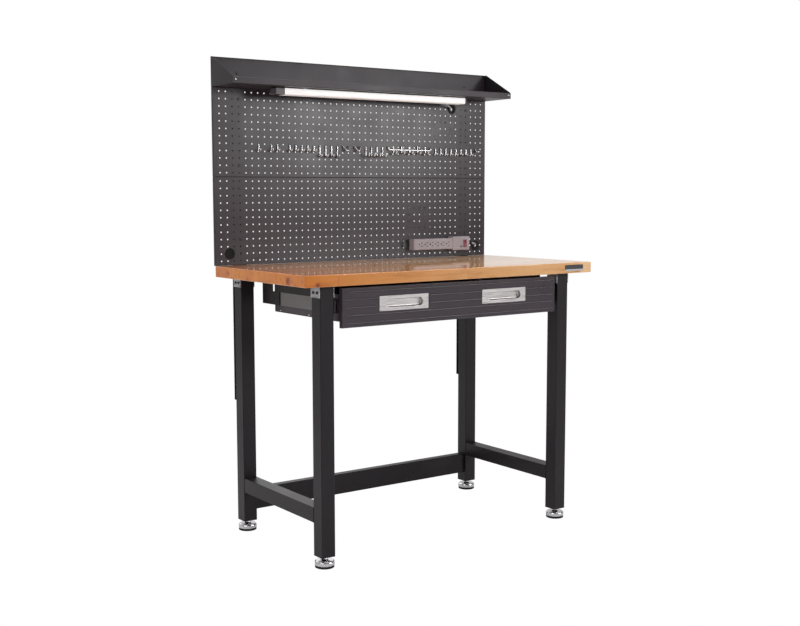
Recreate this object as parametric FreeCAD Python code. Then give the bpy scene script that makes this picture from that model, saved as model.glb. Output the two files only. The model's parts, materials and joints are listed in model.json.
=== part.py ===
# Workbench with a drawer, a pegboard back panel, a top shelf, a work light and a power strip.
# Millimetres.  +X to the right, -Y towards the user, +Z up.  The origin lies on the floor,
# under the middle of the bench without its two mains leads.
import FreeCAD
import Part

import math
import os

V = FreeCAD.Vector
INCH = 25.4

# ---------------------------------------------------------------- driving dimensions
TOP_LENGTH = 48 * INCH
TOP_DEPTH = 24 * INCH
TOP_THICKNESS = 1.5 * INCH
TOP_HEIGHT = 37.5 * INCH
TOP_CORNER_R = 6.0
TOP_EDGE_R = 2.5
OVERALL_HEIGHT = 1672.0

PLATE_THICKNESS = 1.0       # blank name plate on the worktop's front edge
TOP_OVERHANG_BACK = 2.3     # worktop's back edge behind the pegboard's front face
REAR_BOLT_HEAD = 4.5
LEG_BEHIND_BOARD = 8.0      # rear legs' back face behind the pegboard's front face
POST_DEPTH = 12.5

# Y of the pegboard's front face, set so that the bench is centred on the origin
BOARD_TO_FRONT = TOP_DEPTH - TOP_OVERHANG_BACK + PLATE_THICKNESS
BOARD_TO_REAR = LEG_BEHIND_BOARD + POST_DEPTH + REAR_BOLT_HEAD
BOARD_Y = (BOARD_TO_FRONT - BOARD_TO_REAR) / 2.0

LEG = 2 * INCH              # square tube
LEG_WALL = 1.5
FOOT_PLATE = 4.0            # welded into the bottom of a leg, with a threaded boss
BOSS_R = 10.0
BOSS_HEIGHT = 12.0
LEG_CORNER_R = 2.0
LEG_OUTSIDE = 532.0         # outer faces of the legs, each side of the middle
LEG_X = LEG_OUTSIDE - LEG / 2
LEG_BOTTOM = 36.0
LEG_TOP = TOP_HEIGHT - TOP_THICKNESS
REAR_LEG_Y = BOARD_Y + LEG_BEHIND_BOARD - LEG / 2
FRONT_LEG_Y = REAR_LEG_Y - 522.0

SIDE_RAIL_Z = 169.2         # centre height
REAR_RAIL_Z = 111.1
REAR_RAIL_HEIGHT = 3 * INCH
REAR_RAIL_DEPTH = 30.0
REAR_RAIL_FRONT_Y = BOARD_Y - 33.0

FOOT_R = 32.5
NUT_BOTTOM = 27.5
FOOT_PAD = 8.0
FOOT_CUP = 15.5
PAD_INSET = 0.8             # rubber pad's edge inside the cup's
FOOT_STEM_R = 5.0
FOOT_STEM = 64.0

POST_BOTTOM = 471.0
POST_TOP = 1640.0

PITCH = INCH                # pegboard hole pitch
HOLE_R = 2.6
BOARD_SCREW_X = 20 * PITCH  # panel screws go through the pegboard's own holes
HOLE_COLUMNS = 47
HOLE_ROWS = 12
PANEL_GAP = 0.1             # above the worktop
LOWER_HEIGHT = 309.5
UPPER_HEIGHT = 307.8
PANEL_SHEET = 1.0
PANEL_FOLD_R = 1.6
PANEL_BOTTOM = TOP_HEIGHT + PANEL_GAP
SEAM = PANEL_BOTTOM + LOWER_HEIGHT
FIRST_ROW = 14.5            # first row of holes from the seam, up and down
GROMMET_HOLE_R = 16.0
GROMMET_R = 19.5
GROMMET_BORE_R = 10.8
MEMBRANE_HALF = 0.6         # half the thickness of a grommet's membrane
MEMBRANE_HOLE_R = 6.5
GROMMET_LEFT = (-551.0, 994.0)
GROMMET_STRIP = (561.0, 993.0)
GROMMET_LAMP = (437.0, 1533.0)
STRIP_PIERCE = (559.0, 995.0)       # where each lead goes through its membrane
LAMP_PIERCE = (433.0, 1532.0)

SHELF_BOTTOM = 1570.0
SHELF_LIP_TOP = 1592.0
SHELF_FRONT_Y = BOARD_Y - 154.0
SHELF_SHEET = 1.2
FOLD_R = 0.8                # inner radius where sheet is folded
HEM = 7.0

LIGHT_HALF = 422.0
LIGHT_BOTTOM = 1545.0
LIGHT_TOP = 1567.0
LIGHT_FRONT_Y = BOARD_Y - 112.0
LIGHT_DEPTH = 45.0
LIGHT_CAP_LEFT = 36.0
LIGHT_CAP_RIGHT = 7.0

STRIP_LEFT = 229.0
STRIP_TAB = 38.0            # bracket tongue left of the strip
STRIP_SEAM = 419.0
STRIP_RIGHT = 505.0
STRIP_Z = 1004.5
STRIP_HEIGHT = 43.0
STRIP_SWITCH_HEIGHT = 54.0
STRIP_FRONT_Y = BOARD_Y - 32.0
STRIP_BACK_Y = BOARD_Y - 2.0
OUTLETS = 6
OUTLET_FIRST_X = 262.0
OUTLET_PITCH = 26.5
OUTLET_BLADE_Z = 6.5
OUTLET_WELL_R = 10.8
STRIP_ROCKER_X = 480.0
STRIP_ROCKER_Y = STRIP_FRONT_Y - 0.5
STRIP_ROCKER_WIDTH = 17.2
STRIP_ROCKER_LENGTH = 27.6
STRIP_RESET_X = 461.0
STRIP_RESET_Z = STRIP_Z - 12.0
STRIP_PARTING_Y = BOARD_Y - 13.0    # between the back pan and the front mouldings
STRIP_RAISED = 2.0                  # switch moulding in front of the outlets' cover
ROCKER_PIN_R = 1.0
ROCKER_PIN = 1.1                    # how far a rocker's pins stand out of its sides

FRONT_HALF = 457.0          # drawer front
FRONT_BOTTOM = 777.0
FRONT_TOP = 904.0
FRONT_Y = BOARD_Y - 577.0
FRONT_THICKNESS = 17.0
FRONT_WALL = 1.2
RIB_PITCH = INCH
RIB_COUNT = 5
RIB_HEIGHT = 1.8
RIB_HALF_WIDTH = 3.2
RIB_MARGIN = 10.0
PULL_X = 215.0
PULL_Z = 848.0
PULL_W = 198.0
PULL_H = 49.0
PULL_PLATE = 2.0
PULL_RECESS_W = 152.0
PULL_RECESS_H = 27.0
PULL_RECESS_DEPTH = 12.5
PULL_CUP_R = 4.0
BOX_HALF = 459.0
BOX_BOTTOM = 797.5
BOX_TOP = 882.0
BOX_BACK_Y = BOARD_Y - 153.0
BOX_SHEET = 1.2
BOX_HEM = 8.0

SLIDE_Z = 846.0
SLIDE_LENGTH = 400.0
SLIDE_FRONT_Y = FRONT_Y + FRONT_THICKNESS + 4.0
SLIDE_SHEET = 1.2
SLIDE_OUTSIDE = BOX_HALF + 12.7
HANGER_SHEET = 3.0

WIRE_R = 2.3                # pegboard hooks
PRONG_DEPTH = 5.3           # centre of a hook's prong behind the board's front face
HOOK_Z = SEAM + FIRST_ROW + 4 * PITCH

LAMP_CORD_R = 3.0
STRIP_CORD_R = 4.0
CORD_BEND = 0.45            # an arc's tangent length as a share of the shorter run


# ---------------------------------------------------------------- helpers
def box(x0, x1, y0, y1, z0, z1):
    """Solid block between two corners, in any order."""
    low = V(min(x0, x1), min(y0, y1), min(z0, z1))
    return Part.makeBox(abs(x1 - x0), abs(y1 - y0), abs(z1 - z0), low)


def cyl(r, length, at, axis):
    """Cylinder from a point along an axis."""
    return Part.makeCylinder(r, length, V(*at), V(*axis))


def fuse(shapes):
    """One solid from shapes that touch or overlap."""
    first = shapes[0]
    return first.fuse(shapes[1:]).removeSplitter() if len(shapes) > 1 else first


def group(solids):
    """Separate solids that share one node."""
    return Part.makeCompound(solids)


def mirrored(shape):
    """The same shape on the other side of the bench."""
    return shape.mirror(V(0, 0, 0), V(1, 0, 0))


def outline(points):
    """Face inside a closed outline of 3-D points."""
    pts = [V(*p) for p in points]
    return Part.Face(Part.makePolygon(pts + [pts[0]]))


def hexagon(across_flats, height, at, axis):
    """Hexagonal prism from a point along an axis."""
    r = across_flats / math.sqrt(3)
    pts = [V(r * math.cos(math.radians(60 * k)), r * math.sin(math.radians(60 * k)), 0)
           for k in range(7)]
    prism = Part.Face(Part.makePolygon(pts)).extrude(V(0, 0, height))
    turn = FreeCAD.Rotation(V(0, 0, 1), V(*axis))
    prism.Placement = FreeCAD.Placement(V(*at), turn)
    return prism


def pan_head(r, height, at, axis):
    """Low domed screw head from a surface point outwards, with a cross recess."""
    head = Part.makeCylinder(r, height, V(0, 0, 0), V(0, 0, 1))
    head = head.makeFillet(height * 0.6, [head.Edges[0]])
    slot = r * 0.55
    cross = box(-slot, slot, -0.4, 0.4, height * 0.45, height + 1)
    cross = cross.fuse(box(-0.4, 0.4, -slot, slot, height * 0.45, height + 1))
    head = head.cut(cross)
    head.Placement = FreeCAD.Placement(V(*at), FreeCAD.Rotation(V(0, 0, 1), V(*axis)))
    return head


def square_tube(x, y, size_x, size_y, z0, z1, wall, r):
    """Upright rectangular tube with rounded outer corners."""
    outer = box(x - size_x / 2, x + size_x / 2, y - size_y / 2, y + size_y / 2, z0, z1)
    upright = [e for e in outer.Edges if abs(e.Vertexes[0].Z - e.Vertexes[-1].Z) > 1]
    outer = outer.makeFillet(r, upright)
    inner = box(x - size_x / 2 + wall, x + size_x / 2 - wall,
                y - size_y / 2 + wall, y + size_y / 2 - wall, z0 - 1, z1 + 1)
    return outer.cut(inner)


def bend_radius(before, corner, after):
    """Largest arc that a corner's two runs allow."""
    a = corner - before
    b = after - corner
    turn = a.getAngle(b)
    return CORD_BEND * min(a.Length, b.Length) / math.tan(turn / 2)


def route(points, radii=None):
    """Wire of straight runs joined by tangent arcs, one arc at each inner point."""
    pts = [V(*p) for p in points]
    edges = []
    start = pts[0]
    for k in range(1, len(pts) - 1):
        a = (pts[k - 1] - pts[k]).normalize()
        b = (pts[k + 1] - pts[k]).normalize()
        r = radii[k - 1] if radii else bend_radius(pts[k - 1], pts[k], pts[k + 1])
        half = (math.pi - a.getAngle(b)) / 2
        reach = r * math.tan(half)
        p0 = pts[k] + a * reach
        p1 = pts[k] + b * reach
        mid_dir = (a + b).normalize()
        centre = pts[k] + mid_dir * (r / math.cos(half))
        mid = centre - mid_dir * r
        if (p0 - start).Length > 1e-6:
            edges.append(Part.LineSegment(start, p0).toShape())
        edges.append(Part.Arc(p0, mid, p1).toShape())
        start = p1
    edges.append(Part.LineSegment(start, pts[-1]).toShape())
    return Part.Wire(edges)


def tube_along(points, r, radii=None):
    """Round rod or cord along a route, and the route's length."""
    path = route(points, radii)
    direction = V(*points[1]) - V(*points[0])
    ring = Part.Wire(Part.Circle(V(*points[0]), direction, r).toShape())
    return path.makePipeShell([ring], True, False), path.Length


def left_of(path, t):
    """Flat path moved t to its left."""
    lines = []
    for (u0, v0), (u1, v1) in zip(path, path[1:]):
        run = math.hypot(u1 - u0, v1 - v0)
        du = -(v1 - v0) / run * t
        dv = (u1 - u0) / run * t
        lines.append((u0 + du, v0 + dv, u1 - u0, v1 - v0))
    moved = [lines[0][:2]]
    for (u0, v0, a, b), (u1, v1, c, d) in zip(lines, lines[1:]):
        share = ((u1 - u0) * d - (v1 - v0) * c) / (a * d - b * c)
        moved.append((u0 + a * share, v0 + b * share))
    u, v, a, b = lines[-1]
    moved.append((u + a, v + b))
    return moved


def folded(path, t, place, along, bend=FOLD_R):
    """Folded sheet: one face follows the flat path, the other lies t to its left (right if t < 0)."""
    other = left_of(path, t)
    outer = bend + abs(t)
    near = []
    far = []
    for (u0, v0), (u1, v1), (u2, v2) in zip(path, path[1:], path[2:]):
        turns_left = (u1 - u0) * (v2 - v1) > (v1 - v0) * (u2 - u1)
        wraps = turns_left == (t > 0)
        near.append(outer if wraps else bend)
        far.append(bend if wraps else outer)
    there = route([place(*p) for p in path], near).Edges
    back = route([place(*p) for p in reversed(other)], far[::-1]).Edges
    end = Part.LineSegment(place(*path[-1]), place(*other[-1])).toShape()
    start = Part.LineSegment(place(*other[0]), place(*path[0])).toShape()
    section = Part.Face(Part.Wire(there + [end] + back + [start]))
    return section.extrude(along)


def on_board(dx, dy, dz):
    """Point given from the pegboard's front face: X, distance behind it, Z."""
    return (dx, BOARD_Y + dy, dz)


PARTS = {}


def keep(name, shape):
    """Record a finished sub-part under its node name."""
    PARTS[name] = shape


# ---------------------------------------------------------------- worktop
def worktop():
    front = BOARD_Y + TOP_OVERHANG_BACK - TOP_DEPTH
    slab = box(-TOP_LENGTH / 2, TOP_LENGTH / 2, front, front + TOP_DEPTH, LEG_TOP, TOP_HEIGHT)
    upright = [e for e in slab.Edges if abs(e.Vertexes[0].Z - e.Vertexes[-1].Z) > 1]
    slab = slab.makeFillet(TOP_CORNER_R, upright)
    rims = [e for e in slab.Edges if abs(e.BoundBox.ZMax - e.BoundBox.ZMin) < 0.01]
    return slab.makeFillet(TOP_EDGE_R, rims)


def name_plate():
    front = BOARD_Y + TOP_OVERHANG_BACK - TOP_DEPTH
    plate = box(477.0, 566.0, front - PLATE_THICKNESS, front, LEG_TOP + 8.0, LEG_TOP + 30.0)
    corners = [e for e in plate.Edges if abs(e.Vertexes[0].Y - e.Vertexes[-1].Y) > 0.5]
    return plate.makeFillet(2.5, corners)


# ---------------------------------------------------------------- frame
def leg(x, y):
    tube = square_tube(x, y, LEG, LEG, LEG_BOTTOM, LEG_TOP, LEG_WALL, LEG_CORNER_R)
    inside = LEG / 2 - LEG_WALL
    boss_z = LEG_BOTTOM + FOOT_PLATE
    plate = box(x - inside, x + inside, y - inside, y + inside, LEG_BOTTOM, boss_z)
    boss = cyl(BOSS_R, BOSS_HEIGHT, (x, y, boss_z), (0, 0, 1))
    bore = cyl(FOOT_STEM_R + 0.05, FOOT_PLATE + BOSS_HEIGHT + 4, (x, y, LEG_BOTTOM - 1), (0, 0, 1))
    return fuse([tube, plate, boss]).cut(bore)


def side_rail(x):
    y0 = FRONT_LEG_Y + LEG / 2
    y1 = REAR_LEG_Y - LEG / 2
    half = LEG / 2
    outer = box(x - half, x + half, y0, y1, SIDE_RAIL_Z - half, SIDE_RAIL_Z + half)
    along = [e for e in outer.Edges if abs(e.Vertexes[0].Y - e.Vertexes[-1].Y) > 1]
    outer = outer.makeFillet(LEG_CORNER_R, along)
    bore = half - LEG_WALL
    inner = box(x - bore, x + bore, y0 - 1, y1 + 1, SIDE_RAIL_Z - bore, SIDE_RAIL_Z + bore)
    return outer.cut(inner)


def rear_rail():
    x = LEG_X - LEG / 2
    z0 = REAR_RAIL_Z - REAR_RAIL_HEIGHT / 2
    z1 = REAR_RAIL_Z + REAR_RAIL_HEIGHT / 2
    y0 = REAR_RAIL_FRONT_Y
    y1 = y0 + REAR_RAIL_DEPTH
    outer = box(-x, x, y0, y1, z0, z1)
    along = [e for e in outer.Edges if abs(e.Vertexes[0].X - e.Vertexes[-1].X) > 1]
    outer = outer.makeFillet(LEG_CORNER_R, along)
    wall = LEG_WALL
    inner = box(-x - 1, x + 1, y0 + wall, y1 - wall, z0 + wall, z1 - wall)
    return bolt_bores(outer.cut(inner), rail_bolt_places(), BOLT_BORE_R, (0, -1, 0), 4.0)


RAIL_BOLT_INSET = 24.0      # from a leg's inner face
RAIL_TAB = 3.0
BOLT_R = 4.0
BOLT_BORE_R = 4.2


def rail_bolt_places():
    """Points just behind the rear rail, one for each of its bolts."""
    y = REAR_RAIL_FRONT_Y + REAR_RAIL_DEPTH + 1.0
    x = LEG_X - LEG / 2 - RAIL_BOLT_INSET
    return [(s * x, y, REAR_RAIL_Z + dz) for s in (-1, 1) for dz in (-20, 20)]


def rail_tab(side):
    """Plate welded to a rear leg that lies inside the rear rail's back wall."""
    x = side * (LEG_X - LEG / 2)
    y1 = REAR_RAIL_FRONT_Y + REAR_RAIL_DEPTH - LEG_WALL
    half = REAR_RAIL_HEIGHT / 2 - 8.0
    return box(x, x - side * 2 * RAIL_BOLT_INSET, y1 - RAIL_TAB, y1,
               REAR_RAIL_Z - half, REAR_RAIL_Z + half)


def rail_bolts():
    """Bolts through the rear rail's back wall and the tabs: heads behind, nuts inside."""
    solids = []
    for x, y, z in rail_bolt_places():
        back = y - 1.0
        head = pan_head(8.0, 3.6, (x, back, z), (0, 1, 0))
        shank = cyl(BOLT_R, 15.0, (x, back, z), (0, -1, 0))
        nut = hexagon(13.0, 6.5, (x, back - LEG_WALL - RAIL_TAB, z), (0, -1, 0))
        solids.append(fuse([head, shank, nut]))
    return solids


def bolt_bores(solid, centres, r, axis, length):
    """The same solid with clearance holes along one axis."""
    for c in centres:
        solid = solid.cut(cyl(r, length, c, axis))
    return solid


BRACKET_SHEET = 2.5
BRACKET_CHEEK = 38.0
BRACKET_EAR = 20.5


def top_bracket(y):
    """Two angles at the top of a leg: a cheek down each side and an ear under the worktop."""
    y0 = y - LEG / 2
    right_face = LEG_X + LEG / 2
    path = [(right_face, LEG_TOP - BRACKET_CHEEK), (right_face, LEG_TOP),
            (right_face + BRACKET_EAR, LEG_TOP)]
    right = folded(path, -BRACKET_SHEET, lambda x, z: V(x, y0, z), V(0, LEG + 1, 0))
    left = right.mirror(V(LEG_X, 0, 0), V(1, 0, 0))
    return [left, right]


def top_brackets():
    solids = []
    for y in (FRONT_LEG_Y, REAR_LEG_Y):
        for piece in top_bracket(y):
            solids += [piece, mirrored(piece)]
    return group(solids)


def bracket_screws():
    """Pan-head screws: through each cheek into the leg, and up through each ear into the top."""
    solids = []
    for y in (FRONT_LEG_Y, REAR_LEG_Y):
        for side in (-1, 1):
            face = LEG_X + side * (LEG / 2 + BRACKET_SHEET)
            for dy in (-11, 11):
                at = (face, y + dy, LEG_TOP - 22)
                screw = fuse([pan_head(5.0, 2.4, at, (side, 0, 0)),
                              cyl(2.4, 7.0, at, (-side, 0, 0))])
                solids += [screw, mirrored(screw)]
            ear = LEG_X + side * (LEG / 2 + 13.5)
            at = (ear, y, LEG_TOP - BRACKET_SHEET)
            screw = fuse([pan_head(4.0, 2.0, at, (0, 0, -1)), cyl(2.0, 20.0, at, (0, 0, 1))])
            solids += [screw, mirrored(screw)]
    return solids


# ---------------------------------------------------------------- levelling feet
def foot(x, y):
    """Chrome cup, threaded stem and lock nut, one piece that screws into the leg."""
    top = FOOT_PAD + FOOT_CUP
    profile = [(0, FOOT_PAD), (FOOT_R - 1.0, FOOT_PAD), (FOOT_R, FOOT_PAD + 1.5),
               (FOOT_R, top - 5.0), (FOOT_R - 1.2, top - 2.2), (FOOT_R - 4.5, top),
               (13.0, top), (9.5, NUT_BOTTOM - 1.0), (0, NUT_BOTTOM - 1.0)]
    face = outline([(x + r, y, z) for r, z in profile])
    cup = face.revolve(V(x, y, 0), V(0, 0, 1), 360)
    stem = cyl(FOOT_STEM_R, FOOT_STEM, (x, y, NUT_BOTTOM - 1.5), (0, 0, 1))
    nut = hexagon(17.0, 6.5, (x, y, NUT_BOTTOM), (0, 0, 1))
    return fuse([cup, stem, nut])


def foot_pad(x, y):
    pad = Part.makeCylinder(FOOT_R - PAD_INSET, FOOT_PAD, V(x, y, 0))
    return pad.makeFillet(1.5, [pad.Edges[2]])


# ---------------------------------------------------------------- posts and pegboard
def board_post(x):
    y0 = BOARD_Y + LEG_BEHIND_BOARD
    wall = 1.5
    outer = box(x - LEG / 2, x + LEG / 2, y0, y0 + POST_DEPTH, POST_BOTTOM, POST_TOP)
    upright = [e for e in outer.Edges if abs(e.Vertexes[0].Z - e.Vertexes[-1].Z) > 1]
    outer = outer.makeFillet(2.0, upright)
    inner = box(x - LEG / 2 + wall, x + LEG / 2 - wall, y0 + wall, y0 + POST_DEPTH - wall,
                POST_BOTTOM - 1, POST_TOP - 2)
    post = outer.cut(inner)
    bores = [(x, y0 - 1, z) for z in POST_BOLT_Z]
    return bolt_bores(post, bores, BOLT_BORE_R, (0, 1, 0), POST_DEPTH + 2)


POST_BOLT_Z = (500.0, 700.0, 880.0)


def post_bolts():
    """Bolts through each post into the rear leg: head at the back, nut inside the leg."""
    solids = []
    back = BOARD_Y + LEG_BEHIND_BOARD + POST_DEPTH
    for z in POST_BOLT_Z:
        head = pan_head(8.0, REAR_BOLT_HEAD, (LEG_X, back, z), (0, 1, 0))
        shank = cyl(BOLT_R, POST_DEPTH + 12, (LEG_X, back, z), (0, -1, 0))
        nut = hexagon(13.0, 6.5, (LEG_X, back - POST_DEPTH - LEG_WALL, z), (0, -1, 0))
        bolt = fuse([head, shank, nut])
        solids += [bolt, mirrored(bolt)]
    return solids


def hole_centres(sign):
    """Pegboard hole centres of the upper (+1) or lower (-1) panel, less those under grommets."""
    grommets = (GROMMET_LEFT, GROMMET_STRIP, GROMMET_LAMP)
    centres = []
    for row in range(HOLE_ROWS):
        z = SEAM + sign * (FIRST_ROW + row * PITCH)
        for column in range(HOLE_COLUMNS):
            x = (column - HOLE_COLUMNS // 2) * PITCH
            if all(math.hypot(x - gx, z - gz) > GROMMET_R + HOLE_R for gx, gz in grommets):
                centres.append((x, z))
    return centres


def pegboard(sign):
    """Folded steel panel: perforated sheet with a flange turned back along each edge."""
    z0, z1 = (SEAM, SEAM + UPPER_HEIGHT) if sign > 0 else (PANEL_BOTTOM, SEAM)
    half = TOP_LENGTH / 2
    t = PANEL_SHEET
    pan = box(-half, half, BOARD_Y, BOARD_Y + LEG_BEHIND_BOARD, z0, z1)
    folds = [e for e in pan.Edges if e.BoundBox.YMax < BOARD_Y + 0.01 or e.BoundBox.YLength > 1]
    pan = pan.makeFillet(PANEL_FOLD_R, folds)
    pan = pan.cut(box(-half + t, half - t, BOARD_Y + t, BOARD_Y + 20, z0 + t, z1 - t))
    edge = PANEL_FOLD_R + t
    x0, x1, w0, w1 = -half + edge, half - edge, z0 + edge, z1 - edge
    pan = pan.cut(box(x0, x1, BOARD_Y - 1, BOARD_Y + t + 1, w0, w1))
    rim = [V(x0, BOARD_Y, w0), V(x1, BOARD_Y, w0), V(x1, BOARD_Y, w1), V(x0, BOARD_Y, w1)]
    wires = [Part.makePolygon(rim + [rim[0]])]
    axis = V(0, 1, 0)
    for x, z in hole_centres(sign):
        wires.append(Part.Wire(Part.Circle(V(x, BOARD_Y, z), axis, HOLE_R).toShape()))
    for gx, gz in (GROMMET_LEFT, GROMMET_STRIP, GROMMET_LAMP):
        if z0 < gz < z1:
            circle = Part.Circle(V(gx, BOARD_Y, gz), axis, GROMMET_HOLE_R)
            wires.append(Part.Wire(circle.toShape()))
    sheet = Part.Face(wires, "Part::FaceMakerBullseye").extrude(V(0, t, 0))
    return fuse([sheet, pan])


def board_screws():
    """Screws that hold the panels and the shelf's back wall to the posts."""
    solids = []
    front = BOARD_Y
    post_inside = BOARD_Y + LEG_BEHIND_BOARD + 6.0
    rows = [SEAM + sign * (FIRST_ROW + k * PITCH) for sign, k in ((-1, 1), (-1, 8), (1, 1), (1, 10))]
    for z in rows:
        at = (BOARD_SCREW_X, front, z)
        screw = fuse([pan_head(5.2, 2.4, at, (0, -1, 0)),
                      cyl(2.4, post_inside - front, at, (0, 1, 0))])
        solids += [screw, mirrored(screw)]
    wall = BOARD_Y + LEG_BEHIND_BOARD - SHELF_SHEET
    for z in (1590.0, 1622.0):
        at = (BOARD_SCREW_X, wall, z)
        screw = fuse([pan_head(5.2, 2.4, at, (0, -1, 0)),
                      cyl(2.4, 9.0, at, (0, 1, 0))])
        solids += [screw, mirrored(screw)]
    for side in (-1, 1):
        x = side * (TOP_LENGTH / 2 - SHELF_SHEET)
        for y, z in ((SHELF_FRONT_Y + 12, 1582.0), (wall - 11, 1650.0), (wall - 11, 1582.0)):
            rivet = cyl(2.6, 1.6, (x, y, z), (-side, 0, 0))
            solids.append(rivet)
    return group(solids)


def grommets():
    """Rubber grommets with a thin membrane: two pierced for a lead, one whole."""
    solids = []
    axis = (0, 1, 0)
    for (x, z), pierce in ((GROMMET_LEFT, None), (GROMMET_STRIP, STRIP_PIERCE), (GROMMET_LAMP, LAMP_PIERCE)):
        front = cyl(GROMMET_R, 2.4, (x, BOARD_Y - 2.4, z), axis)
        front = front.makeFillet(1.2, [front.Edges[2]])
        neck = cyl(GROMMET_HOLE_R, PANEL_SHEET, (x, BOARD_Y, z), axis)
        back = cyl(GROMMET_R - 1.0, 2.0, (x, BOARD_Y + PANEL_SHEET, z), axis)
        ring = fuse([front, neck, back])
        ring = ring.cut(cyl(GROMMET_BORE_R, 4.0 - MEMBRANE_HALF, (x, BOARD_Y - 4.0, z), axis))
        ring = ring.cut(cyl(GROMMET_BORE_R, 4.0, (x, BOARD_Y + MEMBRANE_HALF, z), axis))
        if pierce:
            hole_x, hole_z = pierce
            ring = ring.cut(cyl(MEMBRANE_HOLE_R, 4.0, (hole_x, BOARD_Y - 2.0, hole_z), axis))
        solids.append(ring)
    return group(solids)


# ---------------------------------------------------------------- shelf
def shelf_tray():
    """One folded sheet: back wall, floor and front lip, with a hem along both edges."""
    half = TOP_LENGTH / 2 - SHELF_SHEET
    back = BOARD_Y + LEG_BEHIND_BOARD
    front = SHELF_FRONT_Y
    path = [(front + HEM, SHELF_LIP_TOP), (front, SHELF_LIP_TOP), (front, SHELF_BOTTOM),
            (back, SHELF_BOTTOM), (back, OVERALL_HEIGHT), (back - HEM, OVERALL_HEIGHT)]
    return folded(path, SHELF_SHEET, lambda y, z: V(-half, y, z), V(2 * half, 0, 0))


def shelf_end(side):
    """Sloping end wall outside the folded sheet, with a foot flange on the floor."""
    x = side * (TOP_LENGTH / 2)
    back = BOARD_Y + LEG_BEHIND_BOARD
    front = SHELF_FRONT_Y
    shape = [(front, SHELF_BOTTOM), (back, SHELF_BOTTOM), (back, OVERALL_HEIGHT),
             (back - 14.0, OVERALL_HEIGHT), (front + 3.0, SHELF_LIP_TOP + 2.0),
             (front, SHELF_LIP_TOP - 2.0)]
    wall = outline([(x, y, z) for y, z in shape]).extrude(V(-side * SHELF_SHEET, 0, 0))
    x_in = x - side * SHELF_SHEET
    floor = SHELF_BOTTOM + SHELF_SHEET
    flange = box(x_in, x_in - side * 12.0, front + 12.0, back - 12.0, floor, floor + SHELF_SHEET)
    return fuse([wall, flange])


def shelf_ends():
    return group([shelf_end(-1), shelf_end(1)])


# ---------------------------------------------------------------- light bar
LIGHT_BODY_LEFT = -LIGHT_HALF + LIGHT_CAP_LEFT
LIGHT_BODY_RIGHT = LIGHT_HALF - LIGHT_CAP_RIGHT
LIGHT_TUBE_Y = LIGHT_FRONT_Y + 21.0
LIGHT_TUBE_Z = LIGHT_BOTTOM + 11.5



def light_housing():
    """Channel of painted sheet, open downwards and forwards, that carries the tube."""
    back = LIGHT_FRONT_Y + LIGHT_DEPTH
    path = [(LIGHT_FRONT_Y + 2.0, LIGHT_TOP), (back, LIGHT_TOP), (back, LIGHT_BOTTOM + 2.0)]
    return folded(path, -1.0, lambda y, z: V(LIGHT_BODY_LEFT, y, z),
                  V(LIGHT_BODY_RIGHT - LIGHT_BODY_LEFT, 0, 0))


def light_diffuser():
    """Translucent L-shaped cover: the front and underside of the bar."""
    back = LIGHT_FRONT_Y + LIGHT_DEPTH
    path = [(LIGHT_FRONT_Y, LIGHT_TOP), (LIGHT_FRONT_Y, LIGHT_BOTTOM), (back, LIGHT_BOTTOM)]
    return folded(path, 1.5, lambda y, z: V(LIGHT_BODY_LEFT, y, z),
                  V(LIGHT_BODY_RIGHT - LIGHT_BODY_LEFT, 0, 0), bend=3.0)


def light_tube():
    """Slim fluorescent tube with a metal cap and two pins at each end."""
    left = LIGHT_BODY_LEFT + 1.0
    right = LIGHT_BODY_RIGHT - 1.0
    tube = cyl(7.8, right - left, (left, LIGHT_TUBE_Y, LIGHT_TUBE_Z), (1, 0, 0))
    pins = []
    for side, x in ((-1, left), (1, right)):
        for dz in (-2.5, 2.5):
            pins.append(cyl(1.1, 5.0, (x, LIGHT_TUBE_Y, LIGHT_TUBE_Z + dz), (side, 0, 0)))
    return fuse([tube] + pins)


def light_end_cap(side):
    """Moulded end cap with a socket bore for the tube's pins."""
    x_out = side * LIGHT_HALF
    x_in = LIGHT_BODY_LEFT if side < 0 else LIGHT_BODY_RIGHT
    cap = box(x_out, x_in, LIGHT_FRONT_Y, LIGHT_FRONT_Y + LIGHT_DEPTH, LIGHT_BOTTOM, LIGHT_TOP)
    outer = [e for e in cap.Edges if e.BoundBox.XLength < 0.01
             and abs(e.BoundBox.XMin - x_out) < 0.01]
    cap = cap.makeFillet(2.5, outer)
    cap = cap.cut(cyl(5.0, 5.0, (x_in, LIGHT_TUBE_Y, LIGHT_TUBE_Z), (side, 0, 0)))
    if side < 0:
        cap = cap.cut(light_switch_space(0.5)).cut(light_switch_pin_bore())
    return cap


LIGHT_SWITCH_X = -LIGHT_HALF + 18.0
LIGHT_SWITCH_Y = LIGHT_FRONT_Y + 22.0
LIGHT_SWITCH_Z = LIGHT_BOTTOM + 1.5
LIGHT_SWITCH_WIDTH = 9.0
ROCKER_TILT = 7.0           # degrees from level to either end of its travel


def light_switch_space(gap):
    """Pocket in the left cap's underside for the rocker."""
    return box(LIGHT_SWITCH_X - 5 - gap, LIGHT_SWITCH_X + 5 + gap,
               LIGHT_SWITCH_Y - 9 - gap, LIGHT_SWITCH_Y + 9 + gap,
               LIGHT_BOTTOM - 5, LIGHT_BOTTOM + 10)


def rocker(length, width, height, rise, tilt):
    """Rocker button, with its pins, about its pivot at the origin: long along X, face to +Z."""
    half = length / 2
    face = outline([(-half, 0, -rise), (-half, 0, height), (0, 0, height * 0.55),
                    (half, 0, height), (half, 0, -rise)])
    body = face.extrude(V(0, width, 0))
    body.translate(V(0, -width / 2, 0))
    pin = width / 2 + ROCKER_PIN
    body = fuse([body, cyl(ROCKER_PIN_R, 2 * pin, (0, -pin, 0), (0, 1, 0))])
    body.rotate(V(0, 0, 0), V(0, 1, 0), tilt)
    return body


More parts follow.
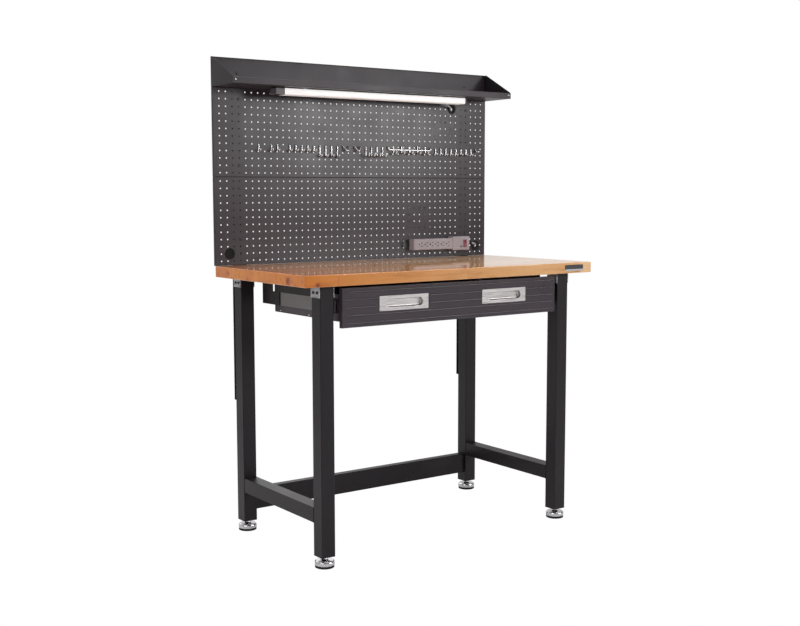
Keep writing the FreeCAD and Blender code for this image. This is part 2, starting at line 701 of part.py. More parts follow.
def light_switch_pin_bore():
    """Bore for the rocker's two pins in the sides of its pocket."""
    reach = LIGHT_SWITCH_WIDTH / 2 + ROCKER_PIN + 0.3
    return cyl(ROCKER_PIN_R + 0.15, 2 * reach, (LIGHT_SWITCH_X - reach, LIGHT_SWITCH_Y, LIGHT_SWITCH_Z),
               (1, 0, 0))


def light_switch():
    """Rocker under the left cap; it tips about X."""
    body = rocker(17.0, LIGHT_SWITCH_WIDTH, 3.2, 1.5, ROCKER_TILT)
    body.rotate(V(0, 0, 0), V(0, 0, 1), 90)
    body.rotate(V(0, 0, 0), V(1, 0, 0), 180)
    body.translate(V(LIGHT_SWITCH_X, LIGHT_SWITCH_Y, LIGHT_SWITCH_Z))
    return body


def light_clips():
    """Two folded clips between the bar and the shelf floor."""
    clips = []
    strap = SHELF_BOTTOM - LIGHT_TOP
    for x in (-300.0, 300.0):
        front = LIGHT_FRONT_Y + 8
        back = LIGHT_FRONT_Y + LIGHT_DEPTH
        top = box(x - 9, x + 9, front, back + 1.2, LIGHT_TOP, SHELF_BOTTOM)
        behind = box(x - 9, x + 9, back, back + 1.2, LIGHT_TOP - 14, LIGHT_TOP)
        clip = fuse([top, behind])
        fold = [e for e in clip.Edges if e.BoundBox.YMin > back + 1.19 and e.BoundBox.ZMin > LIGHT_TOP + 1]
        clips.append(clip.makeFillet(strap * 0.6, fold))
    return group(clips)


def strain_relief(r_big, r_small, length, at, axis):
    """Tapered sleeve around a lead, with two grooves."""
    steps = [(0, r_big), (length * 0.22, r_big), (length * 0.22, r_big - 1.2),
             (length * 0.34, r_big - 1.2), (length * 0.34, r_big - 0.6),
             (length * 0.55, r_big - 1.0), (length * 0.55, r_small + 0.4),
             (length * 0.67, r_small + 0.4), (length * 0.67, r_small + 0.9), (length, r_small)]
    pts = [(0, 0, 0)] + [(r, 0, z) for z, r in steps] + [(0, 0, length)]
    sleeve = outline(pts).revolve(V(0, 0, 0), V(0, 0, 1), 360)
    sleeve.Placement = FreeCAD.Placement(V(*at), FreeCAD.Rotation(V(0, 0, 1), V(*axis)))
    return sleeve


# ---------------------------------------------------------------- power strip
def strip_pan(x0, x1, height, t, y_open):
    """Box-shaped shell between two X, open towards y_open."""
    low = STRIP_Z - height / 2
    high = STRIP_Z + height / 2
    y0, y1 = sorted((STRIP_PARTING_Y, y_open))
    return box(x0 + t, x1 - t, y0, y1, low + t, high - t)


def strip_base():
    """Back half of the housing, a shallow pan under the outlets and the switch."""
    t = 2.0
    spans = ((STRIP_LEFT, STRIP_SEAM, STRIP_HEIGHT), (STRIP_SEAM, STRIP_RIGHT, STRIP_SWITCH_HEIGHT))
    pan = fuse([strip_pan(x0, x1, height, 0.0, STRIP_BACK_Y) for x0, x1, height in spans])
    long_span, end_span = spans
    inside = fuse([strip_pan(STRIP_LEFT, STRIP_SEAM + 2 * t, long_span[2], t, STRIP_BACK_Y - t),
                   strip_pan(STRIP_SEAM, STRIP_RIGHT, end_span[2], t, STRIP_BACK_Y - t)])
    return pan.cut(inside)


def outlet_cuts(x):
    """Three-pin outlet turned on its side: ground hole at the left, two blades at its right."""
    y = STRIP_FRONT_Y - 1
    ground = cyl(2.6, 12.0, (x - 5.5, y, STRIP_Z), (0, 1, 0))
    blades = [box(x + 1.5, x + 8.5, y, y + 12, STRIP_Z + dz - 1.2, STRIP_Z + dz + 1.2)
              for dz in (-OUTLET_BLADE_Z, OUTLET_BLADE_Z)]
    return [ground] + blades


def strip_cover():
    """Front half over the outlets, with rounded edges and the outlet openings."""
    t = 2.0
    shell = strip_pan(STRIP_LEFT, STRIP_SEAM, STRIP_HEIGHT, 0.0, STRIP_FRONT_Y)
    rims = [e for e in shell.Edges if e.BoundBox.YMax < STRIP_FRONT_Y + 0.01
            and e.BoundBox.XMin < STRIP_SEAM - 0.01]
    shell = shell.makeFillet(3.0, rims)
    shell = shell.cut(strip_pan(STRIP_LEFT, STRIP_SEAM, STRIP_HEIGHT, t, STRIP_FRONT_Y + t))
    for k in range(OUTLETS):
        x = OUTLET_FIRST_X + k * OUTLET_PITCH
        well = cyl(OUTLET_WELL_R, 5.0, (x + 1, STRIP_FRONT_Y + t, STRIP_Z), (0, 1, 0))
        shell = shell.fuse(well)
        for cut in outlet_cuts(x):
            shell = shell.cut(cut)
    return shell


def strip_switch_housing():
    """Taller front moulding at the right end, with the rocker's and the button's openings."""
    t = 2.2
    front = STRIP_FRONT_Y - STRIP_RAISED
    low = STRIP_Z - STRIP_SWITCH_HEIGHT / 2
    high = STRIP_Z + STRIP_SWITCH_HEIGHT / 2
    shell = strip_pan(STRIP_SEAM, STRIP_RIGHT, STRIP_SWITCH_HEIGHT, 0.0, front)
    rims = [e for e in shell.Edges if e.BoundBox.YMax < front + 0.01]
    shell = shell.makeFillet(3.5, rims)
    shell = shell.cut(strip_pan(STRIP_SEAM, STRIP_RIGHT, STRIP_SWITCH_HEIGHT, t, front + t))
    groove_x = STRIP_SEAM + 36.0
    shell = shell.cut(box(groove_x - 0.6, groove_x + 0.6, front - 1, front + 0.9, low - 1, high + 1))
    half_x = STRIP_ROCKER_WIDTH / 2 + 0.4
    half_z = STRIP_ROCKER_LENGTH / 2 + 0.7
    rim = 2.0
    shell = shell.fuse(box(STRIP_ROCKER_X - half_x - rim, STRIP_ROCKER_X + half_x + rim,
                           front - 1.2, front + 4.5,
                           STRIP_Z - half_z - rim, STRIP_Z + half_z + rim))
    shell = shell.cut(box(STRIP_ROCKER_X - half_x, STRIP_ROCKER_X + half_x, front - 3, front + 12,
                          STRIP_Z - half_z, STRIP_Z + half_z))
    reach = STRIP_ROCKER_WIDTH / 2 + ROCKER_PIN + 0.3
    shell = shell.cut(cyl(ROCKER_PIN_R + 0.15, 2 * reach,
                          (STRIP_ROCKER_X - reach, STRIP_ROCKER_Y, STRIP_Z), (1, 0, 0)))
    return shell.cut(cyl(3.6, 12.0, (STRIP_RESET_X, front - 3, STRIP_RESET_Z), (0, 1, 0)))


def strip_rocker():
    """Red rocker of the strip; it tips about X, its upper half pressed in."""
    body = rocker(STRIP_ROCKER_LENGTH, STRIP_ROCKER_WIDTH, 3.0, 3.5, ROCKER_TILT)
    body.rotate(V(0, 0, 0), V(0, 0, 1), 90)
    body.rotate(V(0, 0, 0), V(1, 0, 0), 90)
    body.translate(V(STRIP_ROCKER_X, STRIP_ROCKER_Y, STRIP_Z))
    return body


def strip_reset_button():
    """Round breaker button with a collar behind the moulding."""
    front = STRIP_FRONT_Y - STRIP_RAISED
    stem = cyl(3.3, 8.0, (STRIP_RESET_X, front - 1.8, STRIP_RESET_Z), (0, 1, 0))
    stem = stem.makeFillet(0.6, [stem.Edges[2]])
    collar = cyl(4.8, 1.5, (STRIP_RESET_X, front + 2.5, STRIP_RESET_Z), (0, 1, 0))
    return fuse([stem, collar])


def strip_contacts():
    """Three brass bus bars under the outlets: ground in the middle, line and neutral beside it."""
    y = STRIP_FRONT_Y + 15.0
    bars = [box(STRIP_LEFT + 12, STRIP_SEAM - 8, y, y + 1.2, STRIP_Z + dz - 2.2, STRIP_Z + dz + 2.2)
            for dz in (-OUTLET_BLADE_Z, 0.0, OUTLET_BLADE_Z)]
    return group(bars)


def strip_brackets():
    """Two tabs that hang the strip on the board, one at its left end and one behind it."""
    low = STRIP_Z - 11
    high = STRIP_Z + 11
    tab = [box(STRIP_LEFT - STRIP_TAB, STRIP_LEFT, STRIP_BACK_Y, BOARD_Y, low, high)]
    for dz in (-6, 6):
        tab.append(cyl(4.6, 3.0, (STRIP_LEFT - STRIP_TAB + 9, STRIP_BACK_Y - 3.0, STRIP_Z + dz), (0, 1, 0)))
    rear = box(STRIP_SEAM - 30, STRIP_SEAM - 8, STRIP_BACK_Y, BOARD_Y, low, high)
    return group([fuse(tab), rear])


# ---------------------------------------------------------------- drawer
def drawer_rib(z):
    """Half-round bead pressed out of the drawer front at one height."""
    half = FRONT_HALF - RIB_MARGIN
    low, top, high = (V(-half, FRONT_Y - out, z + dz) for dz, out in
                      ((-RIB_HALF_WIDTH, -0.3), (0.4, RIB_HEIGHT), (RIB_HALF_WIDTH, -0.3)))
    bow = Part.Arc(low, top, high).toShape()
    chord = Part.LineSegment(high, low).toShape()
    return Part.Face(Part.Wire([bow, chord])).extrude(V(2 * half, 0, 0))


def drawer_front():
    """Hollow folded front with five raised ribs, cut away behind each recessed pull."""
    y0 = FRONT_Y
    y1 = FRONT_Y + FRONT_THICKNESS
    t = FRONT_WALL
    shell = box(-FRONT_HALF, FRONT_HALF, y0, y1, FRONT_BOTTOM, FRONT_TOP)
    rims = [e for e in shell.Edges if e.BoundBox.YMax < y0 + 0.01]
    shell = shell.makeFillet(1.5, rims)
    shell = shell.cut(box(-FRONT_HALF + t, FRONT_HALF - t, y0 + t, y1 - t,
                          FRONT_BOTTOM + t, FRONT_TOP - t))
    shell = shell.fuse([drawer_rib(FRONT_TOP - RIB_PITCH * (k + 0.5)) for k in range(RIB_COUNT)])
    for x in (-PULL_X, PULL_X):
        flat_x = PULL_W / 2 + 5
        flat_z = PULL_H / 2 + 5
        shell = shell.cut(box(x - flat_x, x + flat_x, y0 - 3, y0, PULL_Z - flat_z, PULL_Z + flat_z))
        cup_x = PULL_RECESS_W / 2 + 3
        cup_z = PULL_RECESS_H / 2 + 3
        shell = shell.cut(box(x - cup_x, x + cup_x, y0 - 1, y0 + t + 0.5, PULL_Z - cup_z, PULL_Z + cup_z))
    return shell


def stadium(x, z, w, h, y, depth):
    """Block with round ends, long along X, from y towards +Y."""
    r = h / 2
    run = w / 2 - r
    middle = box(x - run, x + run, y, y + depth, z - r, z + r)
    ends = [cyl(r, depth, (x + s * run, y, z), (0, 1, 0)) for s in (-1, 1)]
    return fuse([middle] + ends)


def drawer_pull(x):
    """Stainless plate with a pressed cup that the fingers reach into."""
    y0 = FRONT_Y - PULL_PLATE
    plate = box(x - PULL_W / 2, x + PULL_W / 2, y0, FRONT_Y, PULL_Z - PULL_H / 2, PULL_Z + PULL_H / 2)
    plate = plate.makeFillet(3.0, [e for e in plate.Edges if e.BoundBox.YLength > 0.5])
    wall = 1.0
    outer = stadium(x, PULL_Z, PULL_RECESS_W + 2 * wall, PULL_RECESS_H + 2 * wall, y0 + 0.5,
                    PULL_RECESS_DEPTH + wall - 0.5)
    cup = stadium(x, PULL_Z, PULL_RECESS_W, PULL_RECESS_H, y0 - 1, PULL_RECESS_DEPTH + 1)
    floor = [e for e in cup.Edges if e.BoundBox.YMin > y0 + PULL_RECESS_DEPTH - 0.01]
    cup = cup.makeFillet(PULL_CUP_R, floor)
    pull = fuse([plate, outer]).cut(cup)
    mouth = [e for e in pull.Edges if e.BoundBox.YMax < y0 + 0.01
             and e.BoundBox.XMin > x - PULL_RECESS_W / 2 - 0.5
             and e.BoundBox.XMax < x + PULL_RECESS_W / 2 + 0.5]
    return pull.makeFillet(1.2, mouth)


def drawer_pulls():
    return group([drawer_pull(-PULL_X), drawer_pull(PULL_X)])


def drawer_box():
    """Welded tray: floor, two hemmed sides with foot flanges, hemmed back and plain front."""
    y0 = FRONT_Y + FRONT_THICKNESS
    y1 = BOX_BACK_Y
    t = BOX_SHEET
    floor_top = BOX_BOTTOM + t
    floor = box(-BOX_HALF, BOX_HALF, y0, y1, BOX_BOTTOM, floor_top)
    front = box(-BOX_HALF, BOX_HALF, y0, y0 + t, floor_top, BOX_TOP)
    inside = BOX_HALF - BOX_HEM
    side_path = [(inside, BOX_TOP), (BOX_HALF, BOX_TOP), (BOX_HALF, floor_top), (inside, floor_top)]
    right = folded(side_path, -t, lambda x, z: V(x, y0 + t, z), V(0, y1 - y0 - t, 0))
    back_path = [(y1 - BOX_HEM, BOX_TOP), (y1, BOX_TOP), (y1, floor_top), (y1 - BOX_HEM, floor_top)]
    back = folded(back_path, -t, lambda y, z: V(-inside, y, z), V(2 * inside, 0, 0))
    return group([floor, front, right, mirrored(right), back])


def drawer_screws():
    """Screws: drawer front from inside, and the slide's inner members along each side."""
    solids = []
    inside = FRONT_Y + FRONT_THICKNESS + BOX_SHEET
    for x in (100.0, 380.0):
        for z in (820.0, 862.0):
            at = (x, inside, z)
            screw = fuse([pan_head(4.5, 2.2, at, (0, 1, 0)), cyl(2.0, 6.0, at, (0, -1, 0))])
            solids += [screw, mirrored(screw)]
    for y in (SLIDE_FRONT_Y + 40, SLIDE_FRONT_Y + 200, SLIDE_FRONT_Y + 360):
        at = (BOX_HALF + SLIDE_SHEET, y, SLIDE_Z)
        screw = fuse([pan_head(4.0, 1.8, at, (1, 0, 0)), cyl(1.9, 6.0, at, (-1, 0, 0))])
        solids += [screw, mirrored(screw)]
    return group(solids)


# ---------------------------------------------------------------- drawer slides
def channel(web, depth, half_height, opens, y0, y1):
    """C section along Y: web at a given X, flanges turned towards +X (1) or -X (-1)."""
    t = SLIDE_SHEET
    z0 = SLIDE_Z - half_height
    z1 = SLIDE_Z + half_height
    x_end = web + opens * depth
    x_in = web + opens * t
    section = [(web, z0), (x_end, z0), (x_end, z0 + t), (x_in, z0 + t), (x_in, z1 - t),
               (x_end, z1 - t), (x_end, z1), (web, z1)]
    face = outline([(x, y0, z) for x, z in section])
    return face.extrude(V(0, y1 - y0, 0))


def slide_cabinet_members():
    y0 = SLIDE_FRONT_Y
    right = channel(SLIDE_OUTSIDE, 11.2, 22.5, -1, y0, y0 + SLIDE_LENGTH)
    return group([right, mirrored(right)])


def slide_middle_members():
    """Middle member with a ball cage above and below it, and another pair inside it."""
    y0 = SLIDE_FRONT_Y + 2.0
    web = SLIDE_OUTSIDE - 3.2
    length = SLIDE_LENGTH - 4.0
    member = channel(web, 7.7, 17.5, -1, y0, y0 + length)
    cages = []
    ball_r = 1.6
    for z in (SLIDE_Z + 19.4, SLIDE_Z - 19.4, SLIDE_Z + 14.4, SLIDE_Z - 14.4):
        x = web - 4.0
        ball_row = [Part.makeSphere(ball_r, V(x, y0 + 60 + 24 * k, z)) for k in range(8)]
        strip = box(x - 0.9, x + 0.9, y0 + 54, y0 + 60 + 24 * 7 + 6, z - 0.5, z + 0.5)
        cages.append(fuse([strip] + ball_row))
    right = group([member] + cages)
    return group(right.Solids + mirrored(right).Solids)


def slide_drawer_members():
    y0 = SLIDE_FRONT_Y + 1.0
    right = channel(BOX_HALF, 6.8, 12.5, 1, y0, y0 + SLIDE_LENGTH - 2.0)
    return group([right, mirrored(right)])


# distances along Y from the pegboard's face
HANGERS = ((-480.0, -424.0), (-163.0, -94.0))    # front and rear
TONGUE = (-210.0, -162.0)                        # of the rear hanger, along the slide
HANGER_RAIL = (-422.0, -178.0)                   # stiffening angle between the hangers
HANGER_HALF_HEIGHT = 22.5                        # below and above the slide's middle
HANGER_FLANGE = 22.0
HANGER_RAIL_GAP = 1.5                            # between the hangers and the long angle
HANGER_TOP_SCREWS = (-466.0, -438.0, -350.0, -250.0, -142.0, -114.0)
HANGER_SIDE_SCREWS = (-466.0, -438.0, -200.0, -176.0)


def hanger_angle(near, far, bottom):
    """Angle along Y: a wall outside the slide, then a flange inwards under the worktop."""
    outer = SLIDE_OUTSIDE + HANGER_SHEET
    path = [(outer, bottom), (outer, LEG_TOP), (SLIDE_OUTSIDE - HANGER_FLANGE, LEG_TOP)]
    y0 = BOARD_Y + near
    return folded(path, HANGER_SHEET, lambda x, z: V(x, y0, z), V(0, far - near, 0), bend=1.5)


def drawer_hangers():
    """Angles that hang the slides from the worktop, with a long angle between them."""
    bottom = SLIDE_Z - HANGER_HALF_HEIGHT
    top = SLIDE_Z + HANGER_HALF_HEIGHT
    front, rear = [hanger_angle(near, far, bottom) for near, far in HANGERS]
    tongue = box(SLIDE_OUTSIDE, SLIDE_OUTSIDE + HANGER_SHEET,
                 BOARD_Y + TONGUE[0], BOARD_Y + TONGUE[1], bottom, top)
    rear = fuse([rear, tongue])
    rail = hanger_angle(*HANGER_RAIL, top + HANGER_RAIL_GAP)
    return group([piece for right in (front, rear, rail) for piece in (right, mirrored(right))])


def hanger_screws():
    solids = []
    for dy in HANGER_TOP_SCREWS:
        at = (SLIDE_OUTSIDE - 12, BOARD_Y + dy, LEG_TOP - HANGER_SHEET)
        up = fuse([pan_head(4.5, 2.2, at, (0, 0, -1)), cyl(2.2, 22.0, at, (0, 0, 1))])
        solids += [up, mirrored(up)]
    for dy in HANGER_SIDE_SCREWS:
        at = (SLIDE_OUTSIDE + HANGER_SHEET, BOARD_Y + dy, SLIDE_Z)
        side = fuse([pan_head(4.0, 1.8, at, (1, 0, 0)), cyl(1.9, 4.5, at, (-1, 0, 0))])
        solids += [side, mirrored(side)]
    return solids


# ---------------------------------------------------------------- pegboard hooks
def column_x(column):
    """X of a pegboard column, counted from the left."""
    return (column - HOLE_COLUMNS // 2) * PITCH


def j_hook(column, drop, reach, tip):
    """Bent wire: prong behind the board, down the front, then out and up at the tip."""
    x = column_x(column)
    z = HOOK_Z
    front = -WIRE_R - 0.4
    points = [on_board(x, PRONG_DEPTH, z + 9.0), on_board(x, PRONG_DEPTH, z), on_board(x, front, z),
              on_board(x, front, z - drop), on_board(x, front - reach, z - drop),
              on_board(x, front - reach - tip * 0.25, z - drop + tip)]
    radii = [3.0, 2.6, min(5.5, reach * 0.45), min(5.5, reach * 0.45)]
    return tube_along(points, WIRE_R, radii)[0]


SHORT_HOOKS = (6, 8, 9, 11, 12, 13, 14, 15)
LONG_HOOKS = (16, 17, 18, 19)
WIDE_HOOKS = (24, 25, 26, 27)
STRAIGHT_HOOKS = (37, 38, 39, 40, 41, 42, 43, 44)


def short_hooks():
    hooks = [j_hook(c, 24.0, 13.0, 9.0) for c in SHORT_HOOKS]
    hooks += [j_hook(c, 27.0, 11.0, 7.0) for c in STRAIGHT_HOOKS]
    return group(hooks)


def long_hooks():
    hooks = [j_hook(c, 41.0, 13.0, 9.0) for c in LONG_HOOKS]
    hooks += [j_hook(c, 38.0, 22.0, 15.0) for c in WIDE_HOOKS]
    return group(hooks)


def vee_hook(column):
    """Wire from one hole down to a point in front and up to the next hole."""
    x0 = column_x(column)
    x1 = column_x(column + 1)
    mid = (x0 + x1) / 2
    z = HOOK_Z
    behind = PRONG_DEPTH
    points = [on_board(x0, behind, z + 9.0), on_board(x0, behind, z), on_board(x0, -5.0, z - 1.0),
              on_board(mid - 3, -14.0, z - 17.0), on_board(mid + 3, -14.0, z - 17.0),
              on_board(x1, -5.0, z - 1.0), on_board(x1, behind, z), on_board(x1, behind, z + 9.0)]
    return tube_along(points, WIRE_R, [2.8, 3.5, 2.8, 2.8, 3.5, 2.8])[0]


def tool_rack():
    """Eight-inch rack: a cross wire pegged at both ends, with five hooked prongs."""
    x0 = column_x(28)
    x1 = column_x(36)
    z = HOOK_Z
    behind = PRONG_DEPTH
    bar_y = -7.0
    bar_z = z - 10.0
    points = [on_board(x0, behind, z + 9.0), on_board(x0, behind, z), on_board(x0, bar_y, z),
              on_board(x0 + 2, bar_y, bar_z), on_board(x1 - 2, bar_y, bar_z), on_board(x1, bar_y, z),
              on_board(x1, behind, z), on_board(x1, behind, z + 9.0)]
    pieces = [tube_along(points, WIRE_R, [2.8, 3.0, 3.0, 3.0, 3.0, 2.8])[0]]
    for k in range(5):
        x = (x0 + x1) / 2 + (k - 2) * 38.0
        prong = [on_board(x, -3.2, z + 4.0), on_board(x, -3.2, z - 22.0),
                 on_board(x, -22.0, z - 27.0), on_board(x, -26.0, z - 14.0)]
        pieces.append(tube_along(prong, WIRE_R, [5.0, 5.0])[0])
    return fuse(pieces)


def ring_holder():
    """Prong with a small level ring at its end, for a screwdriver."""
    x = column_x(45)
    z = HOOK_Z
    ring_r = 8.0
    reach = -7.0
    drop = 10.0
    points = [on_board(x, PRONG_DEPTH, z + 9.0), on_board(x, PRONG_DEPTH, z),
              on_board(x, reach + 4.0, z), on_board(x, reach, z - drop)]
    prong = tube_along(points, WIRE_R, [2.8, 2.8])[0]
    centre = V(*on_board(x, reach - ring_r, z - drop))
    ring = Part.makeTorus(ring_r, WIRE_R * 0.8, centre, V(0, 0, 1))
    return fuse([prong, ring])


def special_hooks():
    return group([vee_hook(20), vee_hook(22), tool_rack(), ring_holder()])


# ---------------------------------------------------------------- mains leads
LAMP_ROUTE = [on_board(*p) for p in (
    (352, -66, 1556), (356, -48, 1556), (372, -34, 1553), (395, -25, 1546),
    (418, -16, 1538), (433, 0, 1532), (438, 15, 1517), (438, 17, 1493), (437, 16, 1462))]
LAMP_COIL = (404.0, 16.0, 1446.0)
LAMP_COIL_R = 33.0
LAMP_COIL_HALF = (9.0, 6.5)         # half sizes of the coil's section: radial, front to back

STRIP_ROUTE = [on_board(*p) for p in (
    (519, -16, 1004), (535, -17, 1003), (550, -12, 999), (559, 0, 995),
    (562, 16, 989), (554, 29, 979), (535, 35, 968), (505, 35, 959), (468, 32, 957),
    (430, 27, 965), (395, 21, 984), (366, 16, 1012), (344, 13, 1046), (330, 12, 1080),
    (325, 12, 1112))]
STRIP_COIL = (279.0, 12.0, 1108.0)
STRIP_COIL_R = 46.0
STRIP_COIL_HALF = (12.0, 8.5)


def coil_solid(centre, mean_r, half_radial, half_depth):
    """Outer shape of a round coil that hangs flat against the board."""
    x, dy, z = centre
    at = V(x, BOARD_Y + dy - half_depth, z)
    axis = V(0, 1, 0)
    outer = Part.makeCylinder(mean_r + half_radial, 2 * half_depth, at, axis)
    inner = Part.makeCylinder(mean_r - half_radial, 2 * half_depth + 2, at - axis, axis)
    ring = outer.cut(inner)
    rims = [e for e in ring.Edges if e.BoundBox.YLength < 0.01]
    return ring.makeFillet(min(half_radial, half_depth) * 0.6, rims)


def plug(at, scale):
    """Three-pin plug that hangs cable up: body, two blades and a ground pin."""
    x, y, z = at
    body_w = 26.0 * scale
    body_d = 20.0 * scale
    body_h = 30.0 * scale
    body = box(x - body_w / 2, x + body_w / 2, y - body_d / 2, y + body_d / 2, z - body_h, z)
    body = body.makeFillet(4.0 * scale, body.Edges)
    neck = Part.makeCone(7.0 * scale, 4.6 * scale, 16.0 * scale, V(x, y, z - 2.0), V(0, 0, 1))
    face = z - body_h
    blades = [box(x + dx - 0.75, x + dx + 0.75, y - 5.0, y + 1.4, face - 16.0, face + 1)
              for dx in (-6.3, 6.3)]
    ground = cyl(2.4, 19.0, (x, y + 5.0, face + 1), (0, 0, -1))
    return fuse([body, neck] + blades + [ground])


LAMP_TAIL = [on_board(*p) for p in ((437, 16, 1446), (437, 16.5, 1420), (435, 18, 1396))]
STRIP_TAIL = [on_board(*p) for p in ((233, 12, 1108), (233, 12.5, 1072), (231, 13.5, 1040))]


def cord_pegs():
    """Pegs on the board's back, one inside each coil, with an upturned stop."""
    solids = []
    for centre, mean_r, (half_radial, half_depth) in (
            (LAMP_COIL, LAMP_COIL_R, LAMP_COIL_HALF), (STRIP_COIL, STRIP_COIL_R, STRIP_COIL_HALF)):
        x, dy, z = centre
        peg_r = 4.0
        stop_thickness = 2.0
        top = z + mean_r - half_radial - peg_r - 0.3
        wall = BOARD_Y + PANEL_SHEET
        end = BOARD_Y + dy + half_depth + 0.3
        peg = cyl(peg_r, end + stop_thickness - wall, (x, wall, top), (0, 1, 0))
        flange = cyl(9.0, 1.5, (x, wall, top), (0, 1, 0))
        stop = box(x - peg_r, x + peg_r, end, end + stop_thickness, top - peg_r, top + 14)
        solids.append(fuse([peg, flange, stop]))
    return group(solids)


# ---------------------------------------------------------------- build
def build():
    keep("worktop", worktop())
    keep("name_plate", name_plate())
    places = {"front_left": (-LEG_X, FRONT_LEG_Y), "front_right": (LEG_X, FRONT_LEG_Y),
              "rear_left": (-LEG_X, REAR_LEG_Y), "rear_right": (LEG_X, REAR_LEG_Y)}
    for place, (x, y) in places.items():
        tube = leg(x, y)
        if place.startswith("rear"):
            tube = fuse([tube, rail_tab(math.copysign(1, x))])
            bores = [(x, REAR_LEG_Y, z) for z in POST_BOLT_Z]
            tube = bolt_bores(tube, bores, BOLT_BORE_R, (0, 1, 0), LEG)
            tube = bolt_bores(tube, rail_bolt_places(), BOLT_BORE_R, (0, -1, 0), 8.0)
        keep("leg_" + place, tube)
        keep("foot_" + place, foot(x, y))
        keep("foot_pad_" + place, foot_pad(x, y))
    keep("side_rail_left", side_rail(-LEG_X))
    keep("side_rail_right", side_rail(LEG_X))
    keep("rear_rail", rear_rail())
    keep("frame_bolts", group(rail_bolts() + post_bolts()))
    keep("top_brackets", top_brackets())
    keep("under_top_screws", group(bracket_screws() + hanger_screws()))
    keep("board_post_left", board_post(-LEG_X))
    keep("board_post_right", board_post(LEG_X))
    keep("pegboard_lower", pegboard(-1))
    keep("pegboard_upper", pegboard(1))
    keep("board_screws", board_screws())
    keep("cord_grommets", grommets())
    keep("shelf_tray", shelf_tray())
    keep("shelf_ends", shelf_ends())
    keep("light_housing", light_housing())
    keep("light_diffuser", light_diffuser())
    keep("light_tube", light_tube())
    keep("light_end_caps", group([light_end_cap(-1), light_end_cap(1)]))
    keep("light_clips", light_clips())
    keep("light_switch", light_switch())
    keep("strip_base", strip_base())
    keep("strip_cover", strip_cover())
    keep("strip_switch_housing", strip_switch_housing())
    keep("strip_rocker", strip_rocker())
    keep("strip_reset_button", strip_reset_button())
    keep("strip_contacts", strip_contacts())
    keep("strip_brackets", strip_brackets())
    keep("drawer_front", drawer_front())
    keep("drawer_box", drawer_box())
    keep("drawer_pulls", drawer_pulls())
    keep("drawer_screws", drawer_screws())
    keep("slide_cabinet_members", slide_cabinet_members())
    keep("slide_middle_members", slide_middle_members())
    keep("slide_drawer_members", slide_drawer_members())
    keep("drawer_hangers", drawer_hangers())
    keep("short_hooks", short_hooks())
    keep("long_hooks", long_hooks())
    keep("special_hooks", special_hooks())
    keep("cord_pegs", cord_pegs())


def report_cord(name, points, r):
    """Tube of a lead, with its bend radii and its volume checked against its length."""
    tube, length = tube_along(points, r)
    pts = [V(*p) for p in points]
    radii = [round(bend_radius(*pts[k:k + 3])) for k in range(len(pts) - 2)]
    ratio = tube.Volume / (math.pi * r * r * length)
    print("%s: length %.0f, radii %s, volume ratio %.4f" % (name, length, radii, ratio))
    return tube


def build_leads():
    lamp = report_cord("lamp lead", LAMP_ROUTE, LAMP_CORD_R)
    lamp_tail = report_cord("lamp tail", LAMP_TAIL, LAMP_CORD_R)
    keep("lamp_lead", group([lamp, lamp_tail]))
    keep("lamp_lead_coil", coil_solid(LAMP_COIL, LAMP_COIL_R, *LAMP_COIL_HALF))
    keep("lamp_plug", plug(LAMP_TAIL[-1], 0.9))
    strip = report_cord("strip lead", STRIP_ROUTE, STRIP_CORD_R)
    strip_tail = report_cord("strip tail", STRIP_TAIL, STRIP_CORD_R)
    keep("strip_lead", group([strip, strip_tail]))
    keep("strip_lead_coil", coil_solid(STRIP_COIL, STRIP_COIL_R, *STRIP_COIL_HALF))
    keep("strip_plug", plug(STRIP_TAIL[-1], 1.1))
    lamp_x, _, lamp_z = LAMP_ROUTE[0]
    lamp_exit = (lamp_x, LIGHT_FRONT_Y + LIGHT_DEPTH, lamp_z)
    _, strip_y, strip_z = STRIP_ROUTE[0]
    lamp_gland = strain_relief(6.0, 4.2, 20.0, lamp_exit, (0.2, 1, 0))
    strip_gland = strain_relief(8.0, 5.4, 22.0, (STRIP_RIGHT, strip_y, strip_z), (1, 0, 0))
    keep("strain_reliefs", group([lamp_gland, strip_gland]))


build()
build_leads()
os.makedirs("parts", exist_ok=True)
whole = None
for name, shape in PARTS.items():
    valid = shape.isValid()
    solids = len(shape.Solids)
    shape.exportStep("parts/" + name + ".step")
    whole = shape.BoundBox if whole is None else whole.united(shape.BoundBox)
    bounds = shape.BoundBox
    print("%-24s %s solids %2d  X %.1f %.1f  Y %.1f %.1f  Z %.1f %.1f" % (
        name, "ok" if valid else "NOT VALID", solids, bounds.XMin, bounds.XMax, bounds.YMin,
        bounds.YMax, bounds.ZMin, bounds.ZMax))
print(len(PARTS), "nodes")
print("X %.1f %.1f  Y %.1f %.1f  Z %.1f %.1f" % (
    whole.XMin, whole.XMax, whole.YMin, whole.YMax, whole.ZMin, whole.ZMax))
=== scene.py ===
import json
import math

import bmesh
import bpy
from mathutils import Matrix, Vector


